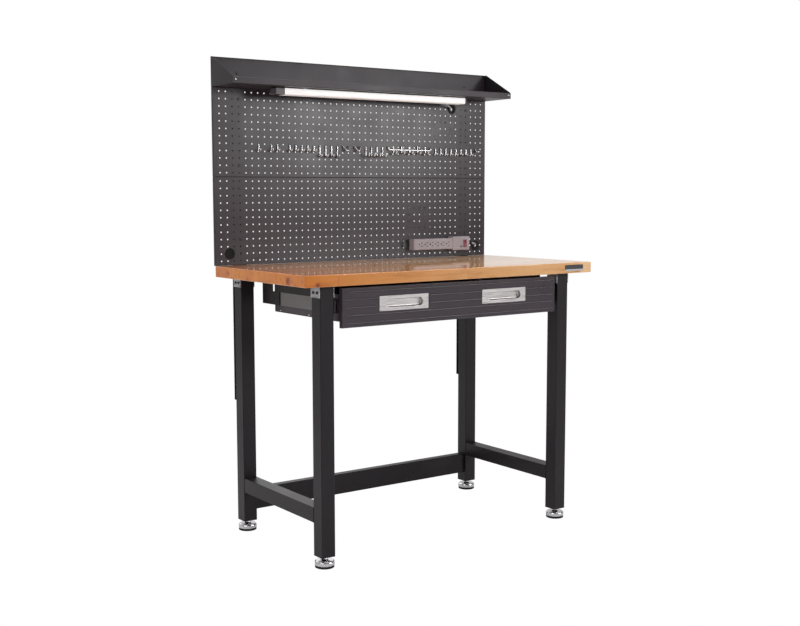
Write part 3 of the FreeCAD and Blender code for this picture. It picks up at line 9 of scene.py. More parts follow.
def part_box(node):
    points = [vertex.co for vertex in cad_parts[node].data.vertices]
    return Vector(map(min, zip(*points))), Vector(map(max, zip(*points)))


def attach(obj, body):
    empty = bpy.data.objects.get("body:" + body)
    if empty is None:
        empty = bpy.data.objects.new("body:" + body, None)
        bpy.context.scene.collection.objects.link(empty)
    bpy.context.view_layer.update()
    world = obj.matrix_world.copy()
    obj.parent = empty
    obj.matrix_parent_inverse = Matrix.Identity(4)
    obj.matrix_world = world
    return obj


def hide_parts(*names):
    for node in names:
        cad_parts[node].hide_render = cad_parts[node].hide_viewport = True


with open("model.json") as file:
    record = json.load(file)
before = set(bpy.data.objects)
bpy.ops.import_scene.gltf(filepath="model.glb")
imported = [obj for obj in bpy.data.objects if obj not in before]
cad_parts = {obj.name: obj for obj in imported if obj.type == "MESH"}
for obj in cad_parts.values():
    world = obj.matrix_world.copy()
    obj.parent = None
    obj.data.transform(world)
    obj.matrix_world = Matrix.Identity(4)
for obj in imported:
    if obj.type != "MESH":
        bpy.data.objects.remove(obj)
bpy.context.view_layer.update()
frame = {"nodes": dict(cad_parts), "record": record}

NODES = frame["nodes"]
MM = 0.001


# ---------------------------------------------------------------- camera
CAMERA_AT = Vector((-2.441, -3.346, 1.202))
CAMERA_AZIMUTH = math.radians(34.63)      # from +Y towards +X
CAMERA_DOWN = math.radians(6.0)
CAMERA_ROLL = math.radians(-0.19)
CAMERA_LENS = 52.1
CAMERA_SHIFT = (0.030, 0.003)


def make_camera():
    data = bpy.data.cameras.new("camera")
    data.sensor_width = 36.0
    data.lens = CAMERA_LENS
    data.shift_x, data.shift_y = CAMERA_SHIFT
    data.clip_end = 60.0
    ahead = Vector((math.sin(CAMERA_AZIMUTH) * math.cos(CAMERA_DOWN),
                    math.cos(CAMERA_AZIMUTH) * math.cos(CAMERA_DOWN), -math.sin(CAMERA_DOWN)))
    level = Vector((math.cos(CAMERA_AZIMUTH), -math.sin(CAMERA_AZIMUTH), 0.0))
    above = level.cross(ahead)
    right = level * math.cos(CAMERA_ROLL) + above * math.sin(CAMERA_ROLL)
    up = above * math.cos(CAMERA_ROLL) - level * math.sin(CAMERA_ROLL)
    turn = Matrix((right, up, -ahead)).transposed()
    camera = bpy.data.objects.new("camera", data)
    camera.matrix_world = Matrix.Translation(CAMERA_AT) @ turn.to_4x4()
    bpy.context.collection.objects.link(camera)
    bpy.context.scene.camera = camera


# ---------------------------------------------------------------- studio
def area_light(name, at, look_at, size, power):
    data = bpy.data.lights.new(name, "AREA")
    data.shape = "RECTANGLE"
    data.size, data.size_y = size
    data.energy = power
    light = bpy.data.objects.new(name, data)
    light.location = at
    light.rotation_euler = (Vector(look_at) - Vector(at)).to_track_quat("-Z", "Y").to_euler()
    bpy.context.collection.objects.link(light)


def make_studio():
    world = bpy.data.worlds.new("studio")
    world.use_nodes = True
    tree = world.node_tree
    back = tree.nodes["Background"]
    glow = tree.nodes.new("ShaderNodeBackground")
    where = tree.nodes.new("ShaderNodeTexCoord")
    split = tree.nodes.new("ShaderNodeSeparateXYZ")
    ramp = tree.nodes.new("ShaderNodeValToRGB")
    front, behind = ramp.color_ramp.elements
    front.position, front.color = 0.35, (0.34, 0.34, 0.345, 1.0)
    behind.position, behind.color = 0.80, (0.95, 0.935, 0.925, 1.0)
    spread = tree.nodes.new("ShaderNodeMapRange")
    spread.inputs["From Min"].default_value = -1.0
    tree.links.new(where.outputs["Generated"], split.inputs[0])
    tree.links.new(split.outputs["Y"], spread.inputs["Value"])
    tree.links.new(spread.outputs["Result"], ramp.inputs["Fac"])
    tree.links.new(ramp.outputs["Color"], back.inputs["Color"])
    back.inputs["Strength"].default_value = 0.80
    glow.inputs["Color"].default_value = (1.0, 1.0, 1.0, 1.0)
    glow.inputs["Strength"].default_value = 1.0
    path = tree.nodes.new("ShaderNodeLightPath")
    mix = tree.nodes.new("ShaderNodeMixShader")
    tree.links.new(path.outputs["Is Camera Ray"], mix.inputs["Fac"])
    tree.links.new(back.outputs["Background"], mix.inputs[1])
    tree.links.new(glow.outputs["Background"], mix.inputs[2])
    tree.links.new(mix.outputs["Shader"], tree.nodes["World Output"].inputs["Surface"])
    bpy.context.scene.world = world

    mesh = bpy.data.meshes.new("floor")
    half = 14.0
    mesh.from_pydata([(-half, -half, 0), (half, -half, 0), (half, half, 0), (-half, half, 0)],
                     [], [(0, 1, 2, 3)])
    floor = bpy.data.objects.new("floor", mesh)
    bpy.context.collection.objects.link(floor)
    floor_paint = bpy.data.materials.new("floor_paint")
    floor_paint.use_nodes = True
    tree = floor_paint.node_tree
    shader = tree.nodes["Principled BSDF"]
    shader.inputs["Base Color"].default_value = (0.75, 0.75, 0.75, 1.0)
    shader.inputs["Roughness"].default_value = 0.9
    shader.inputs["Emission Color"].default_value = (1.0, 1.0, 1.0, 1.0)
    shader.inputs["Emission Strength"].default_value = 0.16
    white = tree.nodes.new("ShaderNodeEmission")
    path = tree.nodes.new("ShaderNodeLightPath")
    mix = tree.nodes.new("ShaderNodeMixShader")
    tree.links.new(path.outputs["Is Camera Ray"], mix.inputs["Fac"])
    tree.links.new(shader.outputs["BSDF"], mix.inputs[1])
    tree.links.new(white.outputs["Emission"], mix.inputs[2])
    tree.links.new(mix.outputs["Shader"], tree.nodes["Material Output"].inputs["Surface"])
    mesh.materials.append(floor_paint)

    target = (0.0, 0.0, 0.9)
    area_light("key", (-3.2, -1.4, 2.7), target, (2.2, 2.2), 44)
    area_light("fill", (2.4, -3.5, 1.85), target, (1.5, 1.0), 60)
    area_light("top", (0.0, -0.3, 4.2), target, (4.0, 3.0), 105)
    area_light("back", (0.5, 3.4, 2.6), target, (3.2, 2.2), 40)


# ---------------------------------------------------------------- material tools
PEEL_SCALE = 700.0
PEEL_DEPTH = 0.00006


class Paint:
    """A material under construction: its Principled shader and short calls that add nodes."""

    def __init__(self, name, colour, roughness, metallic=0.0):
        self.material = bpy.data.materials.new(name)
        self.material.use_nodes = True
        self.tree = self.material.node_tree
        self.shader = self.tree.nodes["Principled BSDF"]
        self.set("Base Color", (*colour, 1.0))
        self.set("Roughness", roughness)
        self.set("Metallic", metallic)
        self.place = self.node("ShaderNodeTexCoord").outputs["Object"]

    def node(self, kind, **settings):
        made = self.tree.nodes.new(kind)
        for key, value in settings.items():
            setattr(made, key, value)
        return made

    def link(self, out, into):
        self.tree.links.new(out, into)

    def set(self, socket, value):
        self.shader.inputs[socket].default_value = value

    def stretched(self, scale, offset=None):
        """Object coordinates times a scale for each axis, plus an offset socket."""
        made = self.node("ShaderNodeVectorMath", operation="MULTIPLY")
        self.link(self.place, made.inputs[0])
        made.inputs[1].default_value = scale
        if offset is None:
            return made.outputs[0]
        moved = self.node("ShaderNodeVectorMath", operation="ADD")
        self.link(made.outputs[0], moved.inputs[0])
        self.link(offset, moved.inputs[1])
        return moved.outputs[0]

    def noise(self, scale, detail=2.0, rough=0.5, at=None):
        made = self.node("ShaderNodeTexNoise")
        made.inputs["Scale"].default_value = scale
        made.inputs["Detail"].default_value = detail
        made.inputs["Roughness"].default_value = rough
        self.link(at or self.place, made.inputs["Vector"])
        return made.outputs["Fac"]

    def ramp(self, value, stops):
        made = self.node("ShaderNodeValToRGB")
        ends = made.color_ramp.elements
        while len(ends) < len(stops):
            ends.new(0.5)
        for element, (at, colour) in zip(ends, stops):
            element.position = at
            element.color = (*colour, 1.0) if len(colour) == 3 else colour
        self.link(value, made.inputs["Fac"])
        return made.outputs["Color"]

    def between(self, value, low, high, near=0.3, far=0.7):
        """Value mapped from near..far to low..high."""
        made = self.node("ShaderNodeMapRange")
        for socket, number in (("From Min", near), ("From Max", far),
                               ("To Min", low), ("To Max", high)):
            made.inputs[socket].default_value = number
        self.link(value, made.inputs["Value"])
        return made.outputs["Result"]

    def mixed(self, share, a, b, kind="MIX"):
        made = self.node("ShaderNodeMix", data_type="RGBA", blend_type=kind)
        for socket, value in ((made.inputs[0], share), (made.inputs[6], a), (made.inputs[7], b)):
            if isinstance(value, (int, float)):
                socket.default_value = value
            elif isinstance(value, tuple):
                socket.default_value = (*value, 1.0)
            else:
                self.link(value, socket)
        return made.outputs[2]

    def math(self, kind, a, b=0.0):
        made = self.node("ShaderNodeMath", operation=kind)
        for socket, value in zip(made.inputs, (a, b)):
            if isinstance(value, (int, float)):
                socket.default_value = value
            else:
                self.link(value, socket)
        return made.outputs[0]

    def axis(self, name):
        split = self.node("ShaderNodeSeparateXYZ")
        self.link(self.place, split.inputs[0])
        return split.outputs[name]

    def bump(self, height, depth, strength=1.0):
        made = self.node("ShaderNodeBump")
        made.inputs["Distance"].default_value = depth
        made.inputs["Strength"].default_value = strength
        self.link(height, made.inputs["Height"])
        self.link(made.outputs["Normal"], self.shader.inputs["Normal"])


def powder_coat(name, colour, roughness=0.42, spread=0.10, sheen=0.32):
    """Baked powder paint: fine orange peel and faint cloudiness."""
    paint = Paint(name, colour, roughness)
    paint.set("Specular IOR Level", sheen)
    cloud = paint.noise(3.0, 4.0)
    light = tuple(c * (1 + spread) for c in colour)
    dark = tuple(c * (1 - spread) for c in colour)
    paint.link(paint.ramp(cloud, [(0.3, dark), (0.7, light)]), paint.shader.inputs["Base Color"])
    peel = paint.noise(PEEL_SCALE, 2.0)
    paint.link(paint.between(paint.noise(9.0, 2.0), roughness - 0.03, roughness + 0.03),
               paint.shader.inputs["Roughness"])
    paint.bump(peel, PEEL_DEPTH, 0.6)
    return paint


def plain_metal(name, colour, roughness, streak=None, depth=0.00003):
    """Bare or plated metal with fine brushing along the axis that streak leaves short."""
    paint = Paint(name, colour, roughness, 1.0)
    lines = paint.noise(1.0, 3.0, 0.6, paint.stretched(streak or (420.0, 420.0, 420.0)))
    tint = [(0.35, tuple(c * 0.86 for c in colour)),
            (0.65, tuple(min(1.0, c * 1.07) for c in colour))]
    paint.link(paint.ramp(lines, tint), paint.shader.inputs["Base Color"])
    paint.link(paint.between(lines, roughness * 0.75, roughness * 1.35), paint.shader.inputs["Roughness"])
    paint.bump(lines, depth, 0.5)
    return paint


def moulding(name, colour, roughness=0.38, depth=0.00006):
    """Moulded plastic with a faint spark texture and slight flow tint."""
    paint = Paint(name, colour, roughness)
    flow = paint.noise(14.0, 2.0)
    light = tuple(min(1.0, c * 1.05) for c in colour)
    dark = tuple(c * 0.93 for c in colour)
    paint.link(paint.ramp(flow, [(0.35, dark), (0.65, light)]), paint.shader.inputs["Base Color"])
    spark = paint.noise(1500.0, 2.0)
    paint.link(paint.between(spark, roughness - 0.05, roughness + 0.07), paint.shader.inputs["Roughness"])
    paint.bump(spark, depth, 0.5)
    return paint


# ---------------------------------------------------------------- materials
STAVE_WIDTH = 0.042
STAVE_LENGTH = 0.52
GLUE_LINE = 0.0004
STAVE_START = (4.13, 4.005, 0.0)    # slides the pattern so that the joints fall as they should
TOP_LOW, TOP_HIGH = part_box("worktop")
KNOTS = (((TOP_LOW[0], TOP_LOW[1] + 0.115, TOP_LOW[2] + 0.020), 0.020),
         ((TOP_LOW[0], TOP_LOW[1] + 0.105, TOP_LOW[2] + 0.028), 0.012),
         ((TOP_LOW[0], TOP_HIGH[1] - 0.095, TOP_LOW[2] + 0.024), 0.013),
         ((TOP_LOW[0] + 0.05, TOP_LOW[1], TOP_LOW[2] + 0.012), 0.015),
         ((TOP_LOW[0] + 0.46, TOP_LOW[1] + 0.16, TOP_HIGH[2]), 0.012),
         ((TOP_HIGH[0] - 0.31, TOP_HIGH[1] - 0.21, TOP_HIGH[2]), 0.010),
         ((TOP_HIGH[0], TOP_LOW[1] + 0.34, TOP_LOW[2] + 0.018), 0.012))


def wood():
    """Lacquered butcher block: staves along X, each with its own tint and grain, and a few knots."""
    paint = Paint("lacquered_butcher_block", (0.6, 0.34, 0.16), 0.30)
    brick = paint.node("ShaderNodeTexBrick", offset=0.37, offset_frequency=2, squash=1.0)
    for socket, value in (("Color1", (0, 0, 0, 1)), ("Color2", (1, 1, 1, 1)),
                          ("Mortar", (0.5, 0.5, 0.5, 1)), ("Scale", 1.0),
                          ("Mortar Size", GLUE_LINE), ("Brick Width", STAVE_LENGTH),
                          ("Row Height", STAVE_WIDTH)):
        brick.inputs[socket].default_value = value
    shifted = paint.node("ShaderNodeVectorMath", operation="ADD")
    paint.link(paint.place, shifted.inputs[0])
    shifted.inputs[1].default_value = STAVE_START
    paint.link(shifted.outputs[0], brick.inputs["Vector"])
    stave = brick.outputs["Color"]
    spread = paint.node("ShaderNodeVectorMath", operation="SCALE")
    paint.link(stave, spread.inputs[0])
    spread.inputs["Scale"].default_value = 37.0
    grain = paint.noise(1.0, 6.0, 0.62, paint.stretched((4.0, 46.0, 46.0), spread.outputs[0]))
    pores = paint.noise(1.0, 3.0, 0.6, paint.stretched((30.0, 900.0, 900.0), spread.outputs[0]))
    tint = paint.ramp(stave, [(0.0, (0.60, 0.33, 0.145)), (0.3, (0.67, 0.40, 0.205)),
                              (0.6, (0.71, 0.46, 0.255)), (1.0, (0.64, 0.35, 0.17))])
    rings = paint.ramp(grain, [(0.30, (0.60, 0.44, 0.30)), (0.50, (0.95, 0.92, 0.88)),
                               (0.72, (1, 1, 1))])
    colour = paint.mixed(0.75, tint, rings, "MULTIPLY")
    flecks = paint.ramp(pores, [(0.30, (0.72, 0.62, 0.52)), (0.42, (1.0, 1.0, 1.0))])
    colour = paint.mixed(0.6, colour, flecks, "MULTIPLY")
    # painted shade: darker and warmer towards the left end, slightly lighter at the right end
    painted_shade_along_x = paint.ramp(paint.between(paint.axis("X"), 0.0, 1.0, -0.61, 0.35),
                        [(0.0, (0.80, 0.43, 0.09)), (0.28, (0.90, 0.64, 0.34)),
                         (1.0, (1.06, 1.06, 1.02))])
    colour = paint.mixed(1.0, colour, painted_shade_along_x, "MULTIPLY")
    glue = paint.ramp(brick.outputs["Fac"], [(0.0, (1, 1, 1)), (1.0, (0.45, 0.34, 0.26))])
    colour = paint.mixed(1.0, colour, glue, "MULTIPLY")
    wobble = paint.node("ShaderNodeVectorMath", operation="ADD")
    paint.link(paint.place, wobble.inputs[0])
    bend = paint.node("ShaderNodeTexNoise")
    bend.inputs["Scale"].default_value = 60.0
    paint.link(paint.place, bend.inputs["Vector"])
    small = paint.node("ShaderNodeVectorMath", operation="SCALE")
    paint.link(bend.outputs["Color"], small.inputs[0])
    small.inputs["Scale"].default_value = 0.012
    paint.link(small.outputs[0], wobble.inputs[1])
    for centre, size in KNOTS:
        away = paint.node("ShaderNodeVectorMath", operation="DISTANCE")
        paint.link(wobble.outputs[0], away.inputs[0])
        away.inputs[1].default_value = centre
        ring = paint.between(away.outputs["Value"], 0.0, 1.0, size * 0.25, size)
        knot = paint.ramp(ring, [(0.0, (0.36, 0.19, 0.11)), (0.35, (0.52, 0.31, 0.20)),
                                 (0.55, (0.82, 0.66, 0.52)), (1.0, (1, 1, 1))])
        colour = paint.mixed(1.0, colour, knot, "MULTIPLY")
    paint.link(colour, paint.shader.inputs["Base Color"])
    paint.set("Specular IOR Level", 0.15)
    paint.set("Coat Weight", 0.85)
    paint.set("Coat Roughness", 0.05)
    swell = paint.noise(1.0, 2.0, 0.5, paint.stretched((2.0, 14.0, 14.0)))
    paint.bump(swell, 0.00002, 0.4)
    return paint


def diffuser():
    paint = Paint("opal_acrylic", (0.93, 0.93, 0.92), 0.32)
    flutes = paint.node("ShaderNodeTexWave", wave_type="BANDS", bands_direction="Z")
    flutes.inputs["Scale"].default_value = 70.0
    paint.link(paint.place, flutes.inputs["Vector"])
    paint.link(paint.ramp(flutes.outputs["Fac"], [(0.0, (0.84, 0.83, 0.84)), (0.5, (0.95, 0.95, 0.95))]),
               paint.shader.inputs["Base Color"])
    paint.set("Emission Color", (1.0, 0.99, 0.98, 1.0))
    paint.set("Emission Strength", 0.22)
    paint.bump(flutes.outputs["Fac"], 0.0002, 0.5)
    return paint


SHEATH = (0.40, 0.355, 0.38)


def plug_moulding(name, split_z):
    """Rubber body above a height, plated blades below it."""
    paint = Paint(name, SHEATH, 0.5)
    metal = paint.math("LESS_THAN", paint.axis("Z"), split_z)
    rib = paint.noise(900.0, 2.0)
    paint.link(paint.mixed(metal, SHEATH, (0.72, 0.60, 0.36)), paint.shader.inputs["Base Color"])
    paint.link(metal, paint.shader.inputs["Metallic"])
    paint.link(paint.between(metal, 0.5, 0.24, 0.0, 1.0), paint.shader.inputs["Roughness"])
    paint.bump(rib, 0.00006, 0.5)
    return paint


def zinc_plate():
    """Spangled bright zinc."""
    paint = plain_metal("bright_zinc", (0.50, 0.49, 0.50), 0.34, (160.0, 160.0, 300.0))
    cells = paint.node("ShaderNodeTexVoronoi")
    cells.inputs["Scale"].default_value = 260.0
    paint.link(paint.place, cells.inputs["Vector"])
    grey = paint.node("ShaderNodeRGBToBW")
    paint.link(cells.outputs["Color"], grey.inputs[0])
    paint.link(paint.ramp(grey.outputs[0], [(0.2, (0.19, 0.185, 0.19)), (0.8, (0.50, 0.49, 0.50))]),
               paint.shader.inputs["Base Color"])
    paint.link(paint.between(grey.outputs[0], 0.24, 0.46, 0.2, 0.8), paint.shader.inputs["Roughness"])
    return paint


def blank_plate():
    """Dark enamelled plate with a lighter band along its lower part, and no lettering."""
    paint = plain_metal("blank_plate", (0.10, 0.10, 0.105), 0.35, (60.0, 900.0, 900.0))
    low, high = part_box("name_plate")
    band = paint.math("LESS_THAN", paint.axis("Z"), low[2] + 0.30 * (high[2] - low[2]))
    dust = paint.noise(240.0, 3.0)
    dark = paint.ramp(dust, [(0.3, (0.030, 0.030, 0.033)), (0.7, (0.050, 0.050, 0.055))])
    pale = paint.ramp(dust, [(0.3, (0.36, 0.35, 0.36)), (0.7, (0.44, 0.43, 0.44))])
    paint.link(paint.mixed(band, dark, pale), paint.shader.inputs["Base Color"])
    paint.set("Metallic", 0.3)
    return paint


SLOT_SHADE_BEHIND = 0.0007                # the strip has painted shade, a near-black colour, from this far behind its face,
SLOT_SHADE_BAND = 0.0125                  # this far above and below its middle
SLOT_SHADE_INSET = (0.006, 0.004)         # and this far in from its left and right ends


def strip_moulding():
    """Grey moulding; the outlet slots behind its face get painted shade, a near-black colour."""
    paint = moulding("strip_moulding", (0.34, 0.295, 0.32), 0.36)
    low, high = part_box("strip_cover")
    middle = (low[2] + high[2]) / 2
    behind = paint.math("GREATER_THAN", paint.axis("Y"), low[1] + SLOT_SHADE_BEHIND)
    level = paint.math("COMPARE", paint.axis("Z"), middle)
    level.node.inputs[2].default_value = SLOT_SHADE_BAND
    right_of = paint.math("GREATER_THAN", paint.axis("X"), low[0] + SLOT_SHADE_INSET[0])
    left_of = paint.math("LESS_THAN", paint.axis("X"), high[0] - SLOT_SHADE_INSET[1])
    slot_shade = paint.math("MULTIPLY", paint.math("MULTIPLY", behind, level),
                        paint.math("MULTIPLY", right_of, left_of))
    face = paint.shader.inputs["Base Color"].links[0].from_socket
    # painted shade: near-black colour inside the outlet slots
    paint.link(paint.mixed(slot_shade, face, (0.012, 0.011, 0.012)), paint.shader.inputs["Base Color"])
    return paint


def rubber(name, colour, roughness=0.62):
    paint = moulding(name, colour, roughness, 0.00012)
    paint.set("Specular IOR Level", 0.25)
    return paint


def red_rocker():
    paint = moulding("red_rocker", (0.17, 0.004, 0.022), 0.30, 0.00002)
    paint.set("Specular IOR Level", 0.4)
    return paint


def drawer_paint():
    """Powder coat with painted shade on faces that look down and lighter colour on faces that look up, so
    that the pressed ribs read.
    """
    paint = powder_coat("drawer_paint", (0.044, 0.032, 0.043), 0.30)
    split = paint.node("ShaderNodeSeparateXYZ")
    paint.link(paint.node("ShaderNodeNewGeometry").outputs["Normal"], split.inputs[0])
    # painted shade and light: colour set by which way a face looks, darkest looking down
    shade = paint.ramp(paint.between(split.outputs["Z"], 0.0, 1.0, -0.5, 0.5),
                       [(0.0, (0.12, 0.12, 0.12)), (0.5, (0.82, 0.82, 0.82)),
                        (1.0, (1.0, 1.0, 1.0))])
    coat = paint.shader.inputs["Base Color"].links[0].from_socket
    paint.link(paint.mixed(1.0, coat, shade, "MULTIPLY"), paint.shader.inputs["Base Color"])
    paint.set("Coat Weight", 0.2)
    paint.set("Coat Roughness", 0.25)
    return paint


SLOT_PAINTS = {
    "worktop": wood,
    "plate": blank_plate,
    "frame": lambda: powder_coat("frame_paint", (0.0100, 0.0074, 0.0094), 0.42, sheen=0.22),
    "black_steel": lambda: plain_metal("black_oxide", (0.05, 0.05, 0.055), 0.38),
    "pegboard": lambda: powder_coat("pegboard_paint", (0.0270, 0.0180, 0.0235), 0.31, sheen=0.34),
    "shelf": lambda: powder_coat("shelf_paint", (0.032, 0.0245, 0.030), 0.38, sheen=0.28),
    "drawer": drawer_paint,
    "chrome": lambda: plain_metal("chrome", (0.52, 0.51, 0.53), 0.20),
    "zinc": zinc_plate,
    "stainless": lambda: plain_metal("brushed_stainless", (0.50, 0.475, 0.475), 0.33,
                                     (14.0, 700.0, 700.0), 0.00001),
    "hook_wire": lambda: plain_metal("plated_wire", (0.80, 0.79, 0.81), 0.18),
    "rubber": lambda: rubber("black_rubber", (0.006, 0.006, 0.0065)),
    "light_body": lambda: powder_coat("white_enamel", (0.80, 0.80, 0.80), 0.30, spread=0.02),
    "diffuser": diffuser,
    "lamp_glass": lambda: moulding("opal_glass", (0.92, 0.92, 0.93), 0.12, 0.00001),
    "light_cap": lambda: moulding("grey_cap", (0.10, 0.085, 0.092), 0.42),
    "black_plastic": lambda: moulding("black_moulding", (0.018, 0.018, 0.020), 0.42),
    "strip_plastic": strip_moulding,
    "red_plastic": red_rocker,
    "brass": lambda: plain_metal("brass", (0.72, 0.53, 0.24), 0.25),
    "lead": lambda: rubber("lead_sheath", SHEATH, 0.36),
}
PAINTS = {name: make() for name, make in SLOT_PAINTS.items()}


def give(obj, paint):
    """One paint on every material slot of a piece."""
    if not obj.data.materials:
        obj.data.materials.append(paint.material)
    for slot in obj.material_slots:
        slot.material = paint.material


BLADE_LENGTH = 0.0162               # of a plug, below its moulded body


def dress_nodes():
    for part in frame["record"]["subparts"]:
        give(NODES[part["node"]], PAINTS[part["material_slot"]])
    for node in ("lamp_plug", "strip_plug"):
        low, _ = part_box(node)
        give(NODES[node], plug_moulding(node + "_finish", low[2] + BLADE_LENGTH))
    slide_steel = plain_metal("slide_steel", (0.19, 0.18, 0.18), 0.42, (6.0, 420.0, 420.0))
    for node in ("slide_cabinet_members", "slide_middle_members", "slide_drawer_members"):
        give(NODES[node], slide_steel)
    # painted shade: near-black posts, so that the pegboard's holes in front of them read dark
    posts_painted_shade = powder_coat("post_paint", (0.0020, 0.0016, 0.0018), 0.60, sheen=0.03)
    for node in ("board_post_left", "board_post_right"):
        give(NODES[node], posts_painted_shade)


# ---------------------------------------------------------------- leads
BOARD_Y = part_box("pegboard_upper")[0][1]


def on_board(x, behind, z):
    """Point in metres from millimetres: X, distance behind the pegboard's face, Z."""
    return Vector((x * MM, BOARD_Y + behind * MM, z * MM))


LAMP_CORD = 6.0             # diameters, coils and glands are in millimetres
STRIP_CORD = 8.0
LAMP_ROUTE = [on_board(*p) for p in (
    (352, -66, 1556), (356, -48, 1556), (372, -34, 1553), (395, -25, 1546),
    (418, -16, 1538), (433, 0, 1532), (438, 15, 1517), (438, 17, 1493), (437, 16, 1462))]
LAMP_COIL = (404, 16, 1446)
LAMP_COIL_R = 33.0
LAMP_LAYER = 3.2            # from the coil's middle plane to either layer
LAMP_TURNS = 6.0
LAMP_TAIL = [on_board(*p) for p in ((437, 16.5, 1420), (435, 18, 1396))]
STRIP_ROUTE = [on_board(*p) for p in (
    (519, -16, 1004), (535, -17, 1003), (550, -12, 999), (559, 0, 995),
    (562, 16, 989), (554, 29, 979), (535, 35, 968), (505, 35, 959), (468, 32, 957),
    (430, 27, 965), (395, 21, 984), (366, 16, 1012), (344, 13, 1046), (330, 12, 1080),
    (325, 12, 1112))]
STRIP_COIL = (279, 12, 1108)
STRIP_COIL_R = 46.0
STRIP_LAYER = 4.2
STRIP_TURNS = 5.5
STRIP_TAIL = [on_board(*p) for p in ((233, 12.5, 1072), (231, 13.5, 1040))]
POINTS_PER_TURN = 16
JOG_FROM = 0.72             # share of a turn after which it moves over to the next place
LAMP_GLAND = (6.0, 4.2, 20.0)       # radius at the foot, radius at the tip, length
STRIP_GLAND = (8.0, 5.4, 22.0)
GROOVES = 5
GROOVE_DEPTH = 0.9


def coil_turns(centre, radius, cord, layer, turns, way):
    """Control points of a neat two-layer coil: up to three turns inwards, then up to three outwards."""
    places = [(cord, layer), (0, layer), (-cord, layer),
              (-cord, -layer), (0, -layer), (cord, -layer)]
    points = []
    for k in range(round(turns * POINTS_PER_TURN) + 1):
        turn, share = divmod(k / POINTS_PER_TURN, 1.0)
        here = places[min(int(turn), len(places) - 1)]
        after = places[min(int(turn) + 1, len(places) - 1)]
        move = max(0.0, (share - JOG_FROM) / (1.0 - JOG_FROM))
        move = move * move * (3 - 2 * move)
        r = radius + here[0] + (after[0] - here[0]) * move
        depth = here[1] + (after[1] - here[1]) * move
        angle = way * 2 * math.pi * k / POINTS_PER_TURN
        points.append(on_board(centre[0] + r * math.cos(angle), centre[1] + depth,
                               centre[2] + r * math.sin(angle)))
    return points


def mesh_piece(name, mesh_build, paint, body):
    """Finish a bmesh: make the object, smooth it, give paint and body."""
    mesh = bpy.data.meshes.new(name)
    bmesh.ops.recalc_face_normals(mesh_build, faces=mesh_build.faces)
    mesh_build.to_mesh(mesh)
    mesh_build.free()
    for face in mesh.polygons:
        face.use_smooth = True
    obj = bpy.data.objects.new(name, mesh)
    bpy.context.collection.objects.link(obj)
    give(obj, PAINTS[paint])
    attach(obj, body)
    return obj


def ring_tube(made, rings):
    """Skin a list of closed rings of points, with both ends filled."""
    loops = [[made.verts.new(p) for p in ring] for ring in rings]
    for here, after in zip(loops, loops[1:]):
        for k in range(len(here)):
            nxt = (k + 1) % len(here)
            made.faces.new((here[k], here[nxt], after[nxt], after[k]))
    made.faces.new(loops[0][::-1])
    made.faces.new(loops[-1])


def across(axis):
    """Two directions at right angles to an axis."""
    axis = Vector(axis).normalized()
    side = axis.orthogonal().normalized()
    return axis, side, axis.cross(side)


def lathe(made, at, axis, profile, segments=32):
    """Turned shape: profile is (distance along the axis, radius) in millimetres."""
    axis, side, up = across(axis)
    rings = []
    for along, radius in profile:
        angles = [2 * math.pi * k / segments for k in range(segments)]
        rings.append([at + (axis * along + (side * math.cos(a) + up * math.sin(a)) * radius) * MM
                      for a in angles])
    ring_tube(made, rings)


def gland(name, at, axis, r_in, r_out, length, cord_r):
    """Moulded strain relief: a collar, then a taper cut by five grooves."""
    profile = [(-1.0, r_in), (0.0, r_in + 1.2), (1.6, r_in + 1.2), (2.2, r_in)]
    start = 3.4
    pitch = (length - start - 1.0) / GROOVES
    for k in range(GROOVES):
        z = start + k * pitch
        r = r_in + (r_out - r_in) * z / length
        profile += [(z, r), (z + 0.10 * pitch, r - GROOVE_DEPTH),
                    (z + 0.38 * pitch, r - GROOVE_DEPTH), (z + 0.48 * pitch, r)]
    profile += [(length - 0.5, r_out), (length, r_out - 0.5), (length, cord_r)]
    made = bmesh.new()
    lathe(made, at, axis, profile)
    piece = mesh_piece(name, made, "rubber", "root")
    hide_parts("strain_reliefs")
    return piece


BEAD_SIDES = 10


def weld_bead(made, start, end, radius=1.5, ripple=1.7):
    """Rippled fillet weld from start to end, as one skinned tube; radius and ripple in millimetres."""
    axis, side, up = across(end - start)
    length = (end - start).length / MM
    steps = max(6, round(length / (ripple / 4)))
    rings = []
    for k in range(steps + 1):
        along = length * k / steps
        taper = min(1.0, 0.35 + min(along, length - along) / 2.0)
        r = radius * taper * (0.82 + 0.18 * abs(math.sin(math.pi * along / ripple)))
        angles = [2 * math.pi * j / BEAD_SIDES for j in range(BEAD_SIDES)]
        rings.append([start + (axis * along + (side * math.cos(a) + up * math.sin(a)) * r) * MM
                      for a in angles])
    ring_tube(made, rings)


def rail_welds(side_rail, body):
    """Beads around both ends of a side rail, where it meets its two legs."""
    low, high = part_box(side_rail)
    made = bmesh.new()
    for y in (low[1], high[1]):
        corners = [(low[0], low[2]), (high[0], low[2]), (high[0], high[2]), (low[0], high[2])]
        for (xa, za), (xb, zb) in zip(corners, corners[1:] + corners[:1]):
            weld_bead(made, Vector((xa, y, za)), Vector((xb, y, zb)))
    return mesh_piece(side_rail + "_welds", made, "frame", body)


def lead(name, points, diameter, nodes):
    curve = bpy.data.curves.new(name, "CURVE")
    curve.dimensions = "3D"
    curve.bevel_depth = diameter / 2
    curve.bevel_resolution = 5
    curve.resolution_u = 8
    curve.use_fill_caps = True
    spline = curve.splines.new("NURBS")
    spline.points.add(len(points) - 1)
    for place, point in zip(spline.points, points):
        place.co = (*point, 1.0)
    spline.order_u = 3
    spline.use_endpoint_u = True
    obj = bpy.data.objects.new(name, curve)
    bpy.context.collection.objects.link(obj)
    give(obj, PAINTS["lead"])
    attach(obj, "root")
    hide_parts(*nodes)
    return obj


RIVET_SEGMENTS = 20
RIVET_ALONG = (0.0378, 0.2247)      # from the drawer box's back end
RIVET_ABOVE = 0.0058                # above its floor


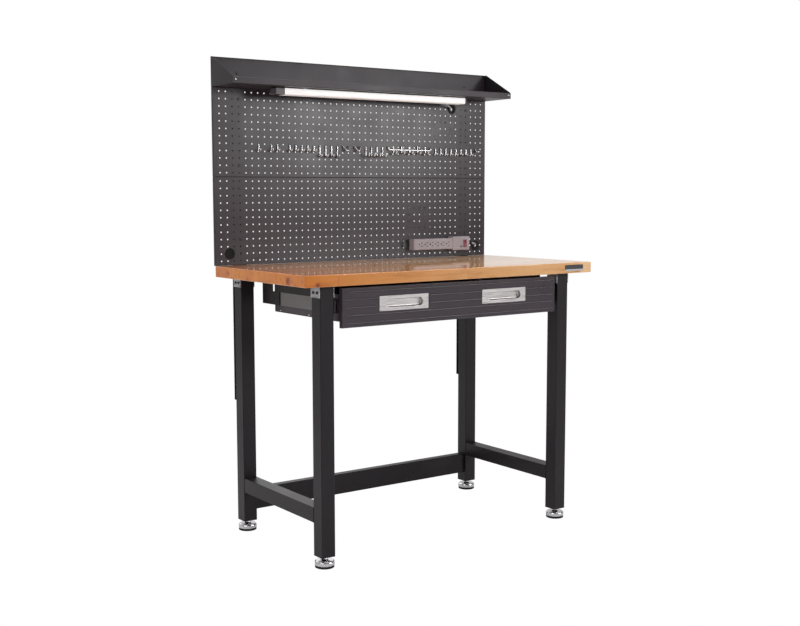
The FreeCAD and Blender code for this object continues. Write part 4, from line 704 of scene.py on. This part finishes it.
def box_rivets():
    """Small domed rivets along the lower edge of both drawer sides."""
    low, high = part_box("drawer_box")
    made = bmesh.new()
    for x, way in ((low[0], -1), (high[0], 1)):
        for along in RIVET_ALONG:
            at = Vector((x, high[1] - along, low[2] + RIVET_ABOVE))
            lathe(made, at, (way, 0, 0),
                  [(-0.6, 2.6), (0.2, 2.6), (0.9, 2.0), (1.3, 1.0), (1.4, 0.3)], RIVET_SEGMENTS)
    return mesh_piece("drawer_box_rivets", made, "hook_wire", "drawer")


SHELF_RIVET_INSET = 0.010           # from either end of the shelf's front lip
SHELF_RIVET_ABOVE = 0.013           # above its floor


def shelf_rivets():
    """Bright rivet heads at both ends of the shelf's front lip."""
    low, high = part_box("shelf_tray")
    made = bmesh.new()
    for x in (low[0] + SHELF_RIVET_INSET, high[0] - SHELF_RIVET_INSET):
        at = Vector((x, low[1], low[2] + SHELF_RIVET_ABOVE))
        lathe(made, at, (0, -1, 0),
              [(-0.5, 3.0), (0.2, 3.0), (0.8, 2.2), (1.2, 1.1), (1.3, 0.3)], RIVET_SEGMENTS)
    return mesh_piece("shelf_rivet_heads", made, "hook_wire", "root")


def make_details():
    box_rivets()
    shelf_rivets()
    rail_welds("side_rail_left", "root")
    rail_welds("side_rail_right", "root")


def make_leads():
    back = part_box("light_housing")[1][1] / MM
    lamp_exit = Vector((LAMP_ROUTE[0].x, back * MM, LAMP_ROUTE[0].z))
    lamp_gland = gland("lamp_gland", lamp_exit, (0.2, 1, 0), *LAMP_GLAND, LAMP_CORD / 2)
    strip_exit = Vector((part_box("strip_switch_housing")[1][0], STRIP_ROUTE[0].y, STRIP_ROUTE[0].z))
    strip_gland = gland("strip_gland", strip_exit, (1, 0, 0), *STRIP_GLAND, STRIP_CORD / 2)
    lamp_turns = coil_turns(LAMP_COIL, LAMP_COIL_R, LAMP_CORD, LAMP_LAYER, LAMP_TURNS, -1)
    points = LAMP_ROUTE[:-1] + lamp_turns + LAMP_TAIL
    lamp = lead("lamp_lead_line", points, LAMP_CORD * MM, ["lamp_lead", "lamp_lead_coil"])
    strip_turns = coil_turns(STRIP_COIL, STRIP_COIL_R, STRIP_CORD, STRIP_LAYER, STRIP_TURNS, 1)
    points = STRIP_ROUTE[:-1] + strip_turns + STRIP_TAIL
    strip = lead("strip_lead_line", points, STRIP_CORD * MM, ["strip_lead", "strip_lead_coil"])


make_camera()
make_studio()
dress_nodes()
make_leads()
make_details()
bpy.context.scene.view_settings.view_transform = "Standard"
